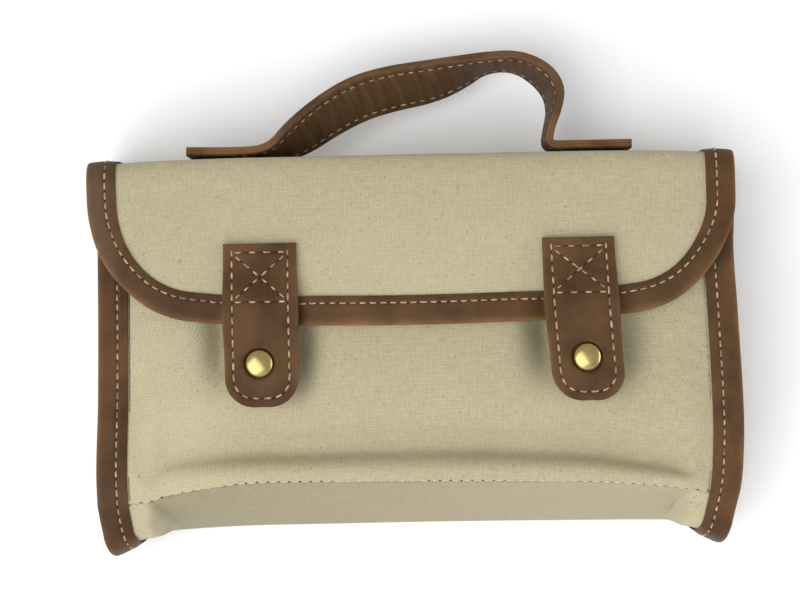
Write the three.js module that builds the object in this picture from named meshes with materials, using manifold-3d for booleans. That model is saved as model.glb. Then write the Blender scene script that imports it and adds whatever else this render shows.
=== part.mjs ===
// A canvas flap pouch edged with leather, lying on its back with the flap snapped shut.
// Millimetres: X runs across the pouch, Y from its base to its handle, Z up from the back.

import * as THREE from "three";
import Module from "manifold-3d";

// Driving dimensions
const HALF_WIDTH = 126; // half of the body over its leather edges
const CANVAS = 1.2; // thickness of the cloth
const LEATHER = 1.0; // thickness of the folded binding leather
const GAP = 0.3; // clearance between pieces that touch
const SIDE_WIDTH = 12.6; // leather that shows along a side seam
const FLAP_WIDTH = 11.5; // leather that shows along the flap's edge
const FLAP_RADIUS = 40; // lower corners of the flap
const FLAP_SHIFT = -1.4; // the flap hangs this far off the middle of the body
const FLAP_SPREAD = 0.0065; // part of its width by which the flap is wider than the body
const FLARE = THREE.MathUtils.degToRad(26); // how far the side seams stand out at the base
const BASE_PINCH = 0.018; // part of its width that the base draws in between its seams
const LAP = 8; // cloth tucked under the neighbouring panel at the base seams
const TAB_THICKNESS = 2.6;
const TAB_RADIUS = 11; // lower corners of a tab
const STRAP_HALF_WIDTH = 12;
const STRAP_HALF_THICKNESS = 1.8;
const STRAP_ROUNDING = 0.6; // worn corners of the strap's section
const SNAP_Y = -23.4; // both snaps lie on this line
const TABS = {
  left: { x: -61.3, halfWidth: 15, lean: -0.6 }, // degrees, lower end to the right
  right: { x: 65.7, halfWidth: 14.1, lean: 2.6 },
};

// Layers of the side seams, worked out from the thicknesses
const LAYER = (CANVAS + GAP) / 2; // from the seam plane to the middle of either cloth
const SIDE_SLOT = LAYER + CANVAS / 2 + GAP;
const SIDE_DEPTH = SIDE_SLOT + LEATHER;
const LEG_START = 0.8; // the binding begins this far outside the seam line
const SEAM_X = HALF_WIDTH - SIDE_WIDTH - LEG_START;
const SIDE_REACH = HALF_WIDTH - SEAM_X;
const CLOTH_REACH = SIDE_REACH - LEATHER - GAP;
const BACK_EDGE_Z = SIDE_DEPTH - LAYER; // back cloth where the binding wraps it
const BACK_Z = CANVAS / 2;

// Layers of the flap's edge
const FLAP_SLOT = CANVAS / 2 + GAP;
const FLAP_DEPTH = FLAP_SLOT + LEATHER;
const FLAP_INSET = LEATHER + GAP; // from the outline to the edge of the cloth
const FLAP_CENTRE_X = HALF_WIDTH - FLAP_RADIUS;
const FOLD_BEVEL = [0.2, 0.6]; // cut of a folded edge's corners, in thicknesses of the leather

// Gusset: the wall folds in towards a crease halfway between front and back
const GUSSET_SAG = 5;
const GUSSET_FAN = [-60, 27]; // lower end of the crease, as y and z

// Control points of the front panel, as [y, z] from its mouth down to its seam with the base
const FRONT = [
  { x: -SEAM_X, mouth: [45, 47], breast: [26, 49.5], belly: [-5, 51], sag: [-35, 52.5],
    valley: [-56, 53.2], ridge: [-70, 53.6], hem: [-78, 51.2] },
  { x: -98, mouth: [45.5, 47.5], breast: [27, 51], belly: [0, 54], sag: [-38, 55.5],
    valley: [-60, 51.2], ridge: [-69, 54], hem: [-75.5, 51.2] },
  { x: -60, mouth: [46, 48], breast: [28, 52], belly: [2, 56], sag: [-43, 58.8],
    valley: [-61, 49], ridge: [-66, 53], hem: [-73, 51.5] },
  { x: 0, mouth: [46, 48], breast: [28, 52.5], belly: [2, 57], sag: [-44, 60],
    valley: [-61.5, 48.5], ridge: [-66, 53], hem: [-72.5, 51.5] },
  { x: 60, mouth: [46, 48], breast: [28, 52], belly: [2, 56], sag: [-44, 58.8],
    valley: [-62.5, 48.8], ridge: [-67, 53], hem: [-73, 51.5] },
  { x: 98, mouth: [45.5, 47.5], breast: [27, 51], belly: [0, 54], sag: [-44, 55.5],
    valley: [-66.5, 49.6], ridge: [-70.5, 53], hem: [-75.5, 51.2] },
  { x: SEAM_X, mouth: [45, 47], breast: [26, 49.5], belly: [-5, 51], sag: [-38, 52.5],
    valley: [-60, 53], ridge: [-70, 53.6], hem: [-78, 51.2] },
];

// Control points of the base, right half, from below the front seam to the back
const BASE = mirrored([
  { x: 0, brim: [-75.5, 45], wall: [-83, 28], heel: [-92, 5], toe: [-89, BACK_Z], foot: [-77, BACK_Z] },
  { x: 60, brim: [-76, 45], wall: [-83.5, 28], heel: [-92, 5], toe: [-89, BACK_Z], foot: [-77, BACK_Z] },
  { x: 97, brim: [-78, 45], wall: [-84.5, 28], heel: [-93, 5], toe: [-90, BACK_Z], foot: [-77, BACK_Z] },
  { x: 104, brim: [-81, 45.5], wall: [-87, 29], heel: [-94, 6], toe: [-90, 1], foot: [-77, 1] },
  { x: SEAM_X, brim: [-86.5, 48], wall: [-94, 33], heel: [-95, 9], toe: [-88, BACK_EDGE_Z],
    foot: [-77, BACK_EDGE_Z] },
]);

// Control points of the back, top and flap, right half, from the base seam to the flap's hem
const COVER = mirrored([
  { x: 0, end: [-76.5, BACK_Z], lower: [-40, BACK_Z], back: [40, BACK_Z], tuck: [54, BACK_Z],
    nape: [57, 6], crown: [57, 27], crest: [57, 47], brow: [55.5, 55.5], upper: [38, 57],
    drop: [12, 60], hem: [-8.7, 61] },
  { x: 60, end: [-76.5, BACK_Z], lower: [-40, BACK_Z], back: [40, BACK_Z], tuck: [54, BACK_Z],
    nape: [57, 6], crown: [57, 27], crest: [57, 47], brow: [55.5, 55], upper: [38, 56.5],
    drop: [12, 59.6], hem: [-8, 60.5] },
  { x: 100, end: [-76.5, BACK_Z], lower: [-40, BACK_Z], back: [40, BACK_Z], tuck: [54, BACK_Z],
    nape: [56.5, 6], crown: [56.5, 27], crest: [56.5, 46], brow: [55, 54.5], upper: [38, 56],
    drop: [12, 58.6], hem: [-3.4, 59.2] },
  { x: SEAM_X, end: [-76.5, BACK_EDGE_Z], lower: [-40, BACK_EDGE_Z], back: [40, BACK_EDGE_Z],
    tuck: [53, BACK_EDGE_Z], nape: [55, 8], crown: [55, 27], crest: [55, 45], brow: [54, 54],
    upper: [38, 55.5], drop: [12, 58], hem: [-3.2, 58.5] },
  { x: HALF_WIDTH, end: [-76.5, BACK_EDGE_Z], lower: [-40, BACK_EDGE_Z], back: [40, BACK_EDGE_Z],
    tuck: [53, BACK_EDGE_Z], nape: [55, 8], crown: [55, 27], crest: [55, 45], brow: [54, 54],
    upper: [38, 55.5], drop: [12, 58], hem: [-3.2, 58.5] },
]);
const FRONT_SPANS = 5;
const BASE_SPANS = 4;
const SHOULDER = 0.07; // part of a span in which the base narrows to its tucked ends
const COVER_SPANS = 9;
const BINDING_END = 2; // span of the cover where the flap binding stops on the back
const BROW_END = 7; // span of the cover where the flap leaves the top fold
const FLAP_CORNER = 7.4; // span of the cover just above the flap's lower corners

// Control points of a tab, as distance above its snap and height of its middle layer
const TAB_PROFILE = [
  [46.4, 61], [38, 61.3], [28, 64], [18, 65], [8.4, 63.7], [0, 63.7], [-8.4, 63.7], [-16.8, 62.6],
];
const TAB_SPANS = TAB_PROFILE.length - 2;
const SNAP_SPAN = 4.5; // span of a tab where its snap sits

// Control points of the strap, with its twist in degrees, from the left foot to the right one
const STRAP = [
  { x: -90.3, y: 59.8, z: 27, twist: 0 }, { x: -66.9, y: 59.8, z: 27, twist: 0 },
  { x: -56.9, y: 60.2, z: 27, twist: 3 }, { x: -48.1, y: 67.8, z: 26, twist: 18 },
  { x: -35.9, y: 76.5, z: 24.5, twist: 28 }, { x: -23.3, y: 83.3, z: 23, twist: 31 },
  { x: -9.3, y: 86.8, z: 22, twist: 31 }, { x: 7.1, y: 88.8, z: 21, twist: 28 },
  { x: 19.1, y: 92.6, z: 20.3, twist: 22 }, { x: 30.1, y: 96.4, z: 20, twist: 10 },
  { x: 43.1, y: 97.3, z: 20, twist: 5 }, { x: 53.6, y: 92, z: 21, twist: 9 },
  { x: 58.4, y: 84, z: 22, twist: 8 }, { x: 57.7, y: 75, z: 24, twist: 2 },
  { x: 54.7, y: 67, z: 26, twist: 0 }, { x: 53.7, y: 59.8, z: 27, twist: 0 },
  { x: 62.1, y: 59.8, z: 27, twist: 0 }, { x: 87.1, y: 59.8, z: 27, twist: 0 },
].map(({ x, y, z, twist }) => [x, y, z, THREE.MathUtils.degToRad(twist)]);
const STRAP_SPANS = STRAP.length - 2;

// Snap fastener, from the cloth or leather that it is set in
const SNAP = {
  capRadius: 5.7, capHeight: 2.6, capRim: 0.5, postRadius: 2.2, socketRadius: 4.6, socketBore: 2.9,
  socketDepth: 2.2, studFlange: 4.4, studKnob: 2.6, studNeck: 2.0, studPost: 1.5, plate: 0.8,
  knobHeight: 2.2, knobBevel: 0.66, seat: 0.5,
};
const HOLE_CLEARANCE = 0.3;
const LATHE_SIDES = 12;

// How finely the pieces are faceted
const STEPS = {
  front: 3, base: 4, frontLap: 3, backLap: 2, columns: 16, hem: 8, corner: 6, dome: 5, strap: 40,
  cover: [2, 1, 4, 4, 2, 4, 4], // for each span as far as the flap
  flapSide: 2, tabColumns: 6, tab: 10,
  tabEnd: [0.35, 0.6, 0.8, 0.93, 1], // rows of the last span, closer towards the rounded end
};
const NUDGE = 0.01; // step over which a slope is taken
const WELD = 1e-4; // corners this close are one

const manifold = await Module();
manifold.setup();

const canvas = { color: "#c4b897", roughness: 0.95, metalness: 0 };
const baseCanvas = { color: "#b9b095", roughness: 0.95, metalness: 0 };
const leather = { color: "#644a34", roughness: 0.6, metalness: 0 };
const brass = { color: "#b9a870", roughness: 0.3, metalness: 1 };

function mirrored(rightRows) {
  const leftRows = rightRows.slice(1).reverse().map((row) => ({ ...row, x: -row.x }));
  return [...leftRows, ...rightRows];
}

function steps(first, last, count) {
  return Array.from({ length: count + 1 }, (_, k) => first + ((last - first) * k) / count);
}

// Smooth value at x between stations, with no overshoot
function blend(stations, values, x) {
  const last = stations.length - 1;
  const slope = (k) => (values[k + 1] - values[k]) / (stations[k + 1] - stations[k]);
  const tangent = (k) => {
    if (k === 0 || k === last) return slope(Math.min(k, last - 1));
    const product = slope(k - 1) * slope(k);
    return product <= 0 ? 0 : (2 * product) / (slope(k - 1) + slope(k));
  };
  const found = stations.findLastIndex((station) => station <= x);
  const k = THREE.MathUtils.clamp(found, 0, last - 1);
  const width = stations[k + 1] - stations[k];
  const s = (x - stations[k]) / width;
  const rise = values[k + 1] - values[k];
  const [start, end] = [tangent(k) * width, tangent(k + 1) * width];
  return values[k] + s * (start + s * (3 * rise - 2 * start - end + s * (start + end - 2 * rise)));
}

// Control points at x, from a table of rows
function railsAt(rows, x) {
  const stations = rows.map((row) => row.x);
  const names = Object.keys(rows[0]).filter((name) => name !== "x");
  return names.map((name) => [0, 1].map((axis) => blend(stations, rows.map((row) => row[name][axis]), x)));
}

// Point on the quadratic B-spline of some control points, with t counted in spans
function spline(points, t) {
  const last = points.length - 3;
  const span = THREE.MathUtils.clamp(Math.floor(t), 0, last);
  const s = t - span;
  const [before, turn, after] = points.slice(span, span + 3);
  return turn.map((value, axis) => {
    const start = span === 0 ? before[axis] : (before[axis] + value) / 2;
    const end = span === last ? after[axis] : (value + after[axis]) / 2;
    return (1 - s) ** 2 * start + 2 * s * (1 - s) * value + s ** 2 * end;
  });
}

// The three cloth surfaces, as points in the middle of the cloth
const frontAt = (x, t) => new THREE.Vector3(x, ...spline(railsAt(FRONT, x), t));
const coverAt = (x, t) => {
  const part = THREE.MathUtils.smoothstep(t, BINDING_END, BROW_END);
  return new THREE.Vector3(x + (FLAP_SHIFT + FLAP_SPREAD * x) * part, ...spline(railsAt(COVER, x), t));
};
const baseAt = (x, t) => {
  const seam = railsAt(FRONT, x).at(-1);
  const pinch = 1 - BASE_PINCH * Math.sin((Math.PI * t) / BASE_SPANS);
  return new THREE.Vector3(x * pinch, ...spline([seam, ...railsAt(BASE, x)], t));
};

// Outward normal of a cloth surface
function normalAt(surface, x, t) {
  const along = surface(x, t + NUDGE).sub(surface(x, t - NUDGE));
  const across = surface(x + NUDGE, t).sub(surface(x - NUDGE, t));
  return along.cross(across).normalize();
}

// Span where a surface at x passes the given y, between two spans
function spanAtY(surface, x, y, low, high) {
  const rising = surface(x, high).y > surface(x, low).y;
  const halvings = 25;
  let [from, to] = [low, high];
  for (let pass = 0; pass < halvings; pass += 1) {
    const middle = (from + to) / 2;
    if (surface(x, middle).y < y === rising) from = middle;
    else to = middle;
  }
  return (from + to) / 2;
}

// Point on the flap at x and a distance above its hem, moved out along the normal
function flapAt(x, distance, lift) {
  const hem = coverAt(x, COVER_SPANS).y;
  const t = spanAtY(coverAt, x, hem + distance, BROW_END, COVER_SPANS);
  return coverAt(x, t).addScaledVector(normalAt(coverAt, x, t), lift);
}

// Frame of a side seam: u leads out of the pouch along the seam allowance, v to its outer face
function seamFrame(origin, tangent, side) {
  const normal = new THREE.Vector3(0, tangent.z, -tangent.y).normalize();
  const flare = FLARE * Math.max(0, -normal.y) ** 2;
  const across = new THREE.Vector3(side, 0, 0);
  const out = across.clone().multiplyScalar(Math.cos(flare)).addScaledVector(normal, Math.sin(flare));
  const face = normal.clone().multiplyScalar(Math.cos(flare)).addScaledVector(across, -Math.sin(flare));
  const base = origin.clone().addScaledVector(normal, -LAYER);
  const point = (u, v) => base.clone().addScaledVector(out, u).addScaledVector(face, v);
  return { y: base.y, point };
}

function seamOf(surface, side, t) {
  const x = side * SEAM_X;
  const tangent = surface(x, t + NUDGE).sub(surface(x, t - NUDGE));
  return seamFrame(surface(x, t), tangent, side);
}

function frontSpans() {
  return steps(0, FRONT_SPANS, FRONT_SPANS * STEPS.front);
}

// Spans of the cover from a given one as far as the flap's lower corners
function coverSpans(first) {
  const counts = STEPS.cover.slice(first);
  const over = counts.flatMap((count, k) => steps(first + k, first + k + 1, count).slice(0, -1));
  return [...over, ...steps(BROW_END, FLAP_CORNER, STEPS.flapSide)];
}

// Spans where the base has its full width, clear of the panels at either end
function baseSpans() {
  const count = BASE_SPANS * STEPS.base;
  const inside = steps(1, count - 1, count - 2).map((k) => k / STEPS.base);
  return [2 * SHOULDER, ...inside, BASE_SPANS - 2 * SHOULDER];
}

// Frames all along one side seam, down the front, round the base and up the back,
// each with the height on the gusset's crease that it folds to
function seamFrames(side) {
  const lowest = GUSSET_FAN[0];
  const fold = (frame) => ({ ...frame, crease: Math.max(frame.y, lowest) });
  const front = frontSpans().map((t) => fold(seamOf(frontAt, side, t)));
  const base = [...baseSpans(), BASE_SPANS].map((t) => ({ ...seamOf(baseAt, side, t), crease: lowest }));
  const up = new THREE.Vector3(0, 1, 0);
  const back = front.filter((frame) => frame.y > lowest - GAP).reverse().map((frame) => {
    const origin = new THREE.Vector3(side * SEAM_X, frame.y, BACK_EDGE_Z);
    return { ...seamFrame(origin, up, side), crease: frame.crease };
  });
  return [...front, ...base, ...back];
}

// Closed solid from faces of three or four corners, with shared corners welded and its faces
// pointing out. A face of four is split along its shorter diagonal.
function solid(corners, faces) {
  const triangles = faces.flatMap(([a, b, c, d]) => {
    if (d === undefined) return [[a, b, c]];
    const first = corners[a].distanceTo(corners[c]) <= corners[b].distanceTo(corners[d]);
    return first ? [[a, b, c], [a, c, d]] : [[a, b, d], [b, c, d]];
  });
  const places = new Map();
  const positions = [];
  const welded = corners.map((corner) => {
    const key = corner.toArray().map((value) => Math.round(value / WELD)).join();
    if (!places.has(key)) {
      places.set(key, places.size);
      positions.push(...corner);
    }
    return places.get(key);
  });
  const kept = triangles.map((triangle) => triangle.map((corner) => welded[corner]))
    .filter(([a, b, c]) => a !== b && b !== c && c !== a);
  const vertex = (k) => new THREE.Vector3().fromArray(positions, 3 * k);
  const volume = kept.reduce((sum, [a, b, c]) => sum + vertex(a).dot(vertex(b).cross(vertex(c))), 0);
  const outward = volume > 0 ? kept : kept.map(([a, b, c]) => [a, c, b]);
  const geometry = new THREE.BufferGeometry();
  geometry.setAttribute("position", new THREE.Float32BufferAttribute(positions, 3));
  geometry.setIndex(outward.flat());
  return geometry;
}

// Sheet of even thickness about a grid of points. A fold normal welds the last column
// to itself, where the two halves of a gusset meet on the crease.
function sheet(grid, thickness, foldNormal) {
  const rows = grid.length;
  const columns = grid[0].length;
  const at = (i, j) => grid[Math.min(Math.max(i, 0), rows - 1)][Math.min(Math.max(j, 0), columns - 1)];
  const normal = (i, j) => {
    if (foldNormal && j === columns - 1) return foldNormal;
    const along = at(i + 1, j).clone().sub(at(i - 1, j));
    const across = at(i, j + 1).clone().sub(at(i, j - 1));
    return along.cross(across).normalize();
  };
  const skin = (side) => grid.flatMap((row, i) =>
    row.map((point, j) => point.clone().addScaledVector(normal(i, j), (side * thickness) / 2)));
  const inner = rows * columns;
  const faces = [];
  for (let i = 0; i < rows - 1; i += 1) {
    for (let j = 0; j < columns - 1; j += 1) {
      const corner = i * columns + j;
      const face = [corner, corner + columns, corner + columns + 1, corner + 1];
      faces.push(face, face.map((k) => inner + k).reverse());
    }
    const [left, right] = [i * columns, (i + 1) * columns - 1];
    faces.push([left, inner + left, inner + left + columns, left + columns]);
    if (!foldNormal) faces.push([right, right + columns, inner + right + columns, inner + right]);
  }
  for (let j = 0; j < columns - 1; j += 1) {
    const last = (rows - 1) * columns + j;
    faces.push([j, j + 1, inner + j + 1, inner + j], [last, inner + last, inner + last + 1, last + 1]);
  }
  return solid([...skin(1), ...skin(-1)], faces);
}

// Solid through a row of rings that share one flat section
function loft(section, rings) {
  const count = section.length;
  const faces = [];
  for (let ring = 0; ring < rings.length - 1; ring += 1) {
    for (let k = 0; k < count; k += 1) {
      const [a, b] = [ring * count + k, ring * count + ((k + 1) % count)];
      faces.push([a, b, b + count, a + count]);
    }
  }
  const cap = THREE.ShapeUtils.triangulateShape(section, []);
  const end = (rings.length - 1) * count;
  faces.push(...cap.map(([a, b, c]) => [a, c, b]), ...cap.map(([a, b, c]) => [a + end, b + end, c + end]));
  return solid(rings.flat(), faces);
}

// Solid of revolution about Z from a profile of [radius, height] that starts and ends on the axis
function turned(profile) {
  const points = profile.map(([radius, height]) => new THREE.Vector2(radius, height));
  const lathe = new THREE.LatheGeometry(points, LATHE_SIDES).rotateX(Math.PI / 2);
  const place = lathe.attributes.position;
  const vertex = (_, k) => new THREE.Vector3().fromBufferAttribute(place, k);
  const index = Array.from(lathe.index.array);
  const triangle = (_, k) => index.slice(3 * k, 3 * k + 3);
  return solid(
    Array.from({ length: place.count }, vertex),
    Array.from({ length: index.length / 3 }, triangle),
  );
}

// Geometry with upright round holes cut through it
function drilled(geometry, holes, radius) {
  const body = (shape) => new manifold.Manifold(new manifold.Mesh({
    numProp: 3,
    vertProperties: Float32Array.from(shape.attributes.position.array),
    triVerts: Uint32Array.from(shape.index.array),
  }));
  const length = 200;
  const drills = holes.map(([x, y]) => {
    const ends = [[0, length], [radius, length], [radius, -length], [0, -length]];
    return body(turned(ends).translate(x, y, 0));
  });
  const mesh = drills.reduce((rest, drill) => rest.subtract(drill), body(geometry)).getMesh();
  const result = new THREE.BufferGeometry();
  result.setAttribute("position", new THREE.Float32BufferAttribute(mesh.vertProperties, mesh.numProp));
  result.setIndex(Array.from(mesh.triVerts));
  return result;
}

// Places across a panel from -1 to 1, closer together towards its sides
function columns() {
  return steps(-1, 1, STEPS.columns).map((s) => Math.sin((s * Math.PI) / 2));
}

// Columns of a body panel, with its seam allowances at either side
function panelColumns() {
  const inside = columns().map((s) => ({ x: SEAM_X * s, u: 0 }));
  const left = { x: -SEAM_X, u: CLOTH_REACH };
  const right = { x: SEAM_X, u: CLOTH_REACH };
  return [left, ...inside, right];
}

function panelRow(surface, t) {
  return panelColumns().map(({ x, u }) => {
    if (u === 0) return surface(x, t);
    return seamOf(surface, Math.sign(x), t).point(u, LAYER);
  });
}

// Row of cloth narrow enough to pass between the side seams, at a depth behind a surface
function insetRow(surface, t, depth) {
  const width = 1 - SIDE_DEPTH / SEAM_X;
  return panelColumns().map(({ x }) => {
    const inset = x * width;
    return surface(inset, t).addScaledVector(normalAt(surface, inset, t), -depth);
  });
}

function frontPanel() {
  const rows = frontSpans().map((t) => panelRow(frontAt, t));
  const holes = Object.values(TABS).map(({ x }) => [x, SNAP_Y]);
  return drilled(sheet(rows, CANVAS), holes, SNAP.studPost + HOLE_CLEARANCE);
}

// Base: a tongue under the front panel, the base itself, and a tongue inside the back
function basePanel() {
  const tuck = CANVAS + 2 * GAP;
  const hem = frontAt(0, FRONT_SPANS).y;
  const frontLap = spanAtY(frontAt, 0, hem + LAP, FRONT_SPANS - 2, FRONT_SPANS);
  const backLap = spanAtY(coverAt, 0, coverAt(0, 0).y + LAP, 0, 1);
  return sheet([
    ...steps(frontLap, FRONT_SPANS, STEPS.frontLap).map((t) => insetRow(frontAt, t, tuck)),
    insetRow(baseAt, SHOULDER, 0),
    ...baseSpans().map((t) => panelRow(baseAt, t)),
    insetRow(baseAt, BASE_SPANS - SHOULDER, 0),
    ...steps(0, backLap, STEPS.backLap).map((t) => insetRow(coverAt, t, tuck)),
  ], CANVAS);
}

// Back, top and flap: full width as far as the flap's rounded lower corners
function backFlapPanel() {
  const half = HALF_WIDTH - FLAP_INSET;
  const straight = coverSpans(0).map((t) => columns().map((s) => coverAt(s * half, t)));
  const radius = FLAP_RADIUS - FLAP_INSET;
  const corner = steps(Math.PI / 2, 0, STEPS.corner).map((angle) => {
    const reach = FLAP_CENTRE_X + radius * Math.sin(angle);
    return columns().map((s) => flapAt(s * reach, FLAP_RADIUS - radius * Math.cos(angle), 0));
  });
  return sheet([...straight, ...corner], CANVAS);
}

function sidePanel(side) {
  const wall = side * (SEAM_X - GUSSET_SAG);
  const grid = seamFrames(side).map((frame) => [
    frame.point(CLOTH_REACH, -LAYER),
    frame.point(0, -LAYER),
    frame.point(-LEG_START, -SIDE_DEPTH),
    new THREE.Vector3(wall, frame.crease, GUSSET_FAN[1]),
  ]);
  return sheet(grid, CANVAS, new THREE.Vector3(1, 0, 0));
}

// Section of folded leather round an edge, anticlockwise, as distance out to the fold and height
function foldedSection(start, reach, slot, depth) {
  const bevel = [reach - FOLD_BEVEL[0] * LEATHER, depth - FOLD_BEVEL[1] * LEATHER];
  const outer = [[reach, 0], bevel, [reach - LEATHER, depth], [start, depth]];
  const inner = [[start, slot], [reach - LEATHER, slot]];
  const lower = [...outer.slice(1), ...inner].map(([u, v]) => [u, -v]).reverse();
  return [...outer, ...inner, ...lower].map(([u, v]) => new THREE.Vector2(u, v));
}

function sideBinding(side) {
  const section = foldedSection(LEG_START, SIDE_REACH, SIDE_SLOT, SIDE_DEPTH);
  const rings = seamFrames(side).map((frame) => section.map(({ x: u, y: v }) => frame.point(u, v)));
  return loft(section, rings);
}

// Binding round the flap: from the back over the top, down one edge, along the hem and back.
// Each station places a point at an inset from the outline and a height off the cloth.
function flapBinding() {
  const section = foldedSection(0, FLAP_WIDTH, FLAP_SLOT, FLAP_DEPTH);
  const edge = (side) => [
    ...coverSpans(BINDING_END).map((t) => (inset, lift) => {
      const x = side * (HALF_WIDTH - inset);
      return coverAt(x, t).addScaledVector(normalAt(coverAt, x, t), lift);
    }),
    ...steps(Math.PI / 2, 0, STEPS.corner).map((angle) => (inset, lift) => {
      const radius = FLAP_RADIUS - inset;
      const x = side * (FLAP_CENTRE_X + radius * Math.sin(angle));
      return flapAt(x, FLAP_RADIUS - radius * Math.cos(angle), lift);
    }),
  ];
  const hem = steps(-FLAP_CENTRE_X, FLAP_CENTRE_X, STEPS.hem).slice(1, -1)
    .map((x) => (inset, lift) => flapAt(x, inset, lift));
  const stations = [...edge(-1), ...hem, ...edge(1).reverse()];
  const rings = stations.map((place) => section.map(({ x: u, y: v }) => place(FLAP_WIDTH - u, v)));
  return loft(section, rings);
}

// Tab about its snap's axis
function closureTab(fullHalfWidth) {
  const lowerEnd = TAB_PROFILE.at(-1)[0];
  const halfWidth = (y) => {
    const short = Math.max(0, TAB_RADIUS - (y - lowerEnd));
    return fullHalfWidth - TAB_RADIUS + Math.sqrt(TAB_RADIUS ** 2 - short ** 2);
  };
  const last = TAB_SPANS - 1;
  const rows = [...steps(0, last, STEPS.tab), ...STEPS.tabEnd.map((s) => last + s)];
  const across = steps(-1, 1, STEPS.tabColumns);
  const grid = rows.map((t) => {
    const [y, z] = spline(TAB_PROFILE, t);
    return across.map((s) => new THREE.Vector3(s * halfWidth(y), y, z));
  });
  return drilled(sheet(grid, TAB_THICKNESS), [[0, 0]], SNAP.postRadius + HOLE_CLEARANCE);
}

// Domed cap on the tab, its post through the leather and the socket behind it
function snapCap() {
  const middle = spline(TAB_PROFILE, SNAP_SPAN)[1];
  const above = middle + TAB_THICKNESS / 2 + GAP;
  const below = middle - TAB_THICKNESS / 2 - GAP;
  const dome = steps(0, Math.PI / 2, STEPS.dome).map((angle) => [
    SNAP.capRadius * Math.sin(angle),
    above + SNAP.capRim + (SNAP.capHeight - SNAP.capRim) * Math.cos(angle),
  ]);
  return turned([
    ...dome, [SNAP.capRadius, above], [SNAP.postRadius, above], [SNAP.postRadius, below],
    [SNAP.socketRadius, below], [SNAP.socketRadius, below - SNAP.socketDepth],
    [SNAP.socketBore, below - SNAP.socketDepth], [SNAP.socketBore, below - SNAP.plate / 2],
    [0, below - SNAP.plate / 2],
  ]);
}

// Stud riveted through the front panel, with the knob that the socket grips
function snapStud(x) {
  const t = spanAtY(frontAt, x, SNAP_Y, 0, FRONT_SPANS - 1);
  const above = frontAt(x, t).z + CANVAS / 2 + SNAP.seat;
  const below = frontAt(x, t).z - CANVAS / 2 - SNAP.seat;
  const flange = above + SNAP.plate;
  const top = flange + SNAP.knobHeight;
  return turned([
    [0, top], [SNAP.studNeck, top], [SNAP.studKnob, top - SNAP.knobBevel],
    [SNAP.studNeck, flange + SNAP.knobBevel], [SNAP.studNeck, flange],
    [SNAP.studFlange, flange], [SNAP.studFlange, above], [SNAP.studPost, above], [SNAP.studPost, below],
    [SNAP.studFlange, below], [SNAP.studFlange, below - SNAP.plate], [0, below - SNAP.plate],
  ]);
}

// Strap swept along its path: at rest on the crown its width stands along Z, and the twist turns
// the upper edge outward
function handleStrap() {
  const [width, thick, soft] = [STRAP_HALF_WIDTH, STRAP_HALF_THICKNESS, STRAP_ROUNDING];
  const section = [
    [width, thick - soft], [width - soft, thick], [soft - width, thick], [-width, thick - soft],
    [-width, soft - thick], [soft - width, -thick], [width - soft, -thick], [width, soft - thick],
  ].map(([a, b]) => new THREE.Vector2(a, b));
  const rings = steps(0, STRAP_SPANS, STEPS.strap).map((t) => {
    const [x, y, z, twist] = spline(STRAP, t);
    const [before, after] = [spline(STRAP, t - NUDGE), spline(STRAP, t + NUDGE)];
    const outward = new THREE.Vector3(before[1] - after[1], after[0] - before[0], 0).normalize();
    const up = new THREE.Vector3(0, 0, 1);
    const across = up.clone().multiplyScalar(Math.cos(twist)).addScaledVector(outward, Math.sin(twist));
    const face = outward.clone().multiplyScalar(Math.cos(twist)).addScaledVector(up, -Math.sin(twist));
    return section.map(({ x: a, y: b }) =>
      new THREE.Vector3(x, y, z).addScaledVector(across, a).addScaledVector(face, b));
  });
  return loft(section, rings);
}

const pouch = new THREE.Group();

function add(parent, name, geometry, finish) {
  const mesh = new THREE.Mesh(geometry, new THREE.MeshStandardMaterial(finish));
  mesh.name = name;
  parent.add(mesh);
}

add(pouch, "front_panel", frontPanel(), canvas);
add(pouch, "base_panel", basePanel(), baseCanvas);
add(pouch, "back_flap_panel", backFlapPanel(), canvas);
add(pouch, "flap_binding", flapBinding(), leather);
add(pouch, "handle_strap", handleStrap(), leather);

for (const [name, side] of [["left", -1], ["right", 1]]) {
  add(pouch, `side_panel_${name}`, sidePanel(side), canvas);
  add(pouch, `side_binding_${name}`, sideBinding(side), leather);
  const closure = new THREE.Group();
  closure.position.set(TABS[name].x, SNAP_Y, 0);
  closure.rotation.z = THREE.MathUtils.degToRad(TABS[name].lean);
  add(closure, `closure_tab_${name}`, closureTab(TABS[name].halfWidth), leather);
  add(closure, `snap_cap_${name}`, snapCap(), brass);
  add(closure, `snap_stud_${name}`, snapStud(TABS[name].x), brass);
  pouch.add(closure);
}

export default pouch;
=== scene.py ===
# %% [markdown]
# # A canvas flap pouch edged with leather
# The pouch lies on its back with the flap snapped shut. It is a flat bag of heavy cotton canvas.
# Folded leather edges its side seams and its flap, and two leather tabs carry brass snaps.
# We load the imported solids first. They fix where everything sits, and each panel, strip and
# fitting that we make stands for one of them.

# %% Load the frame
import math
from functools import partial

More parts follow.
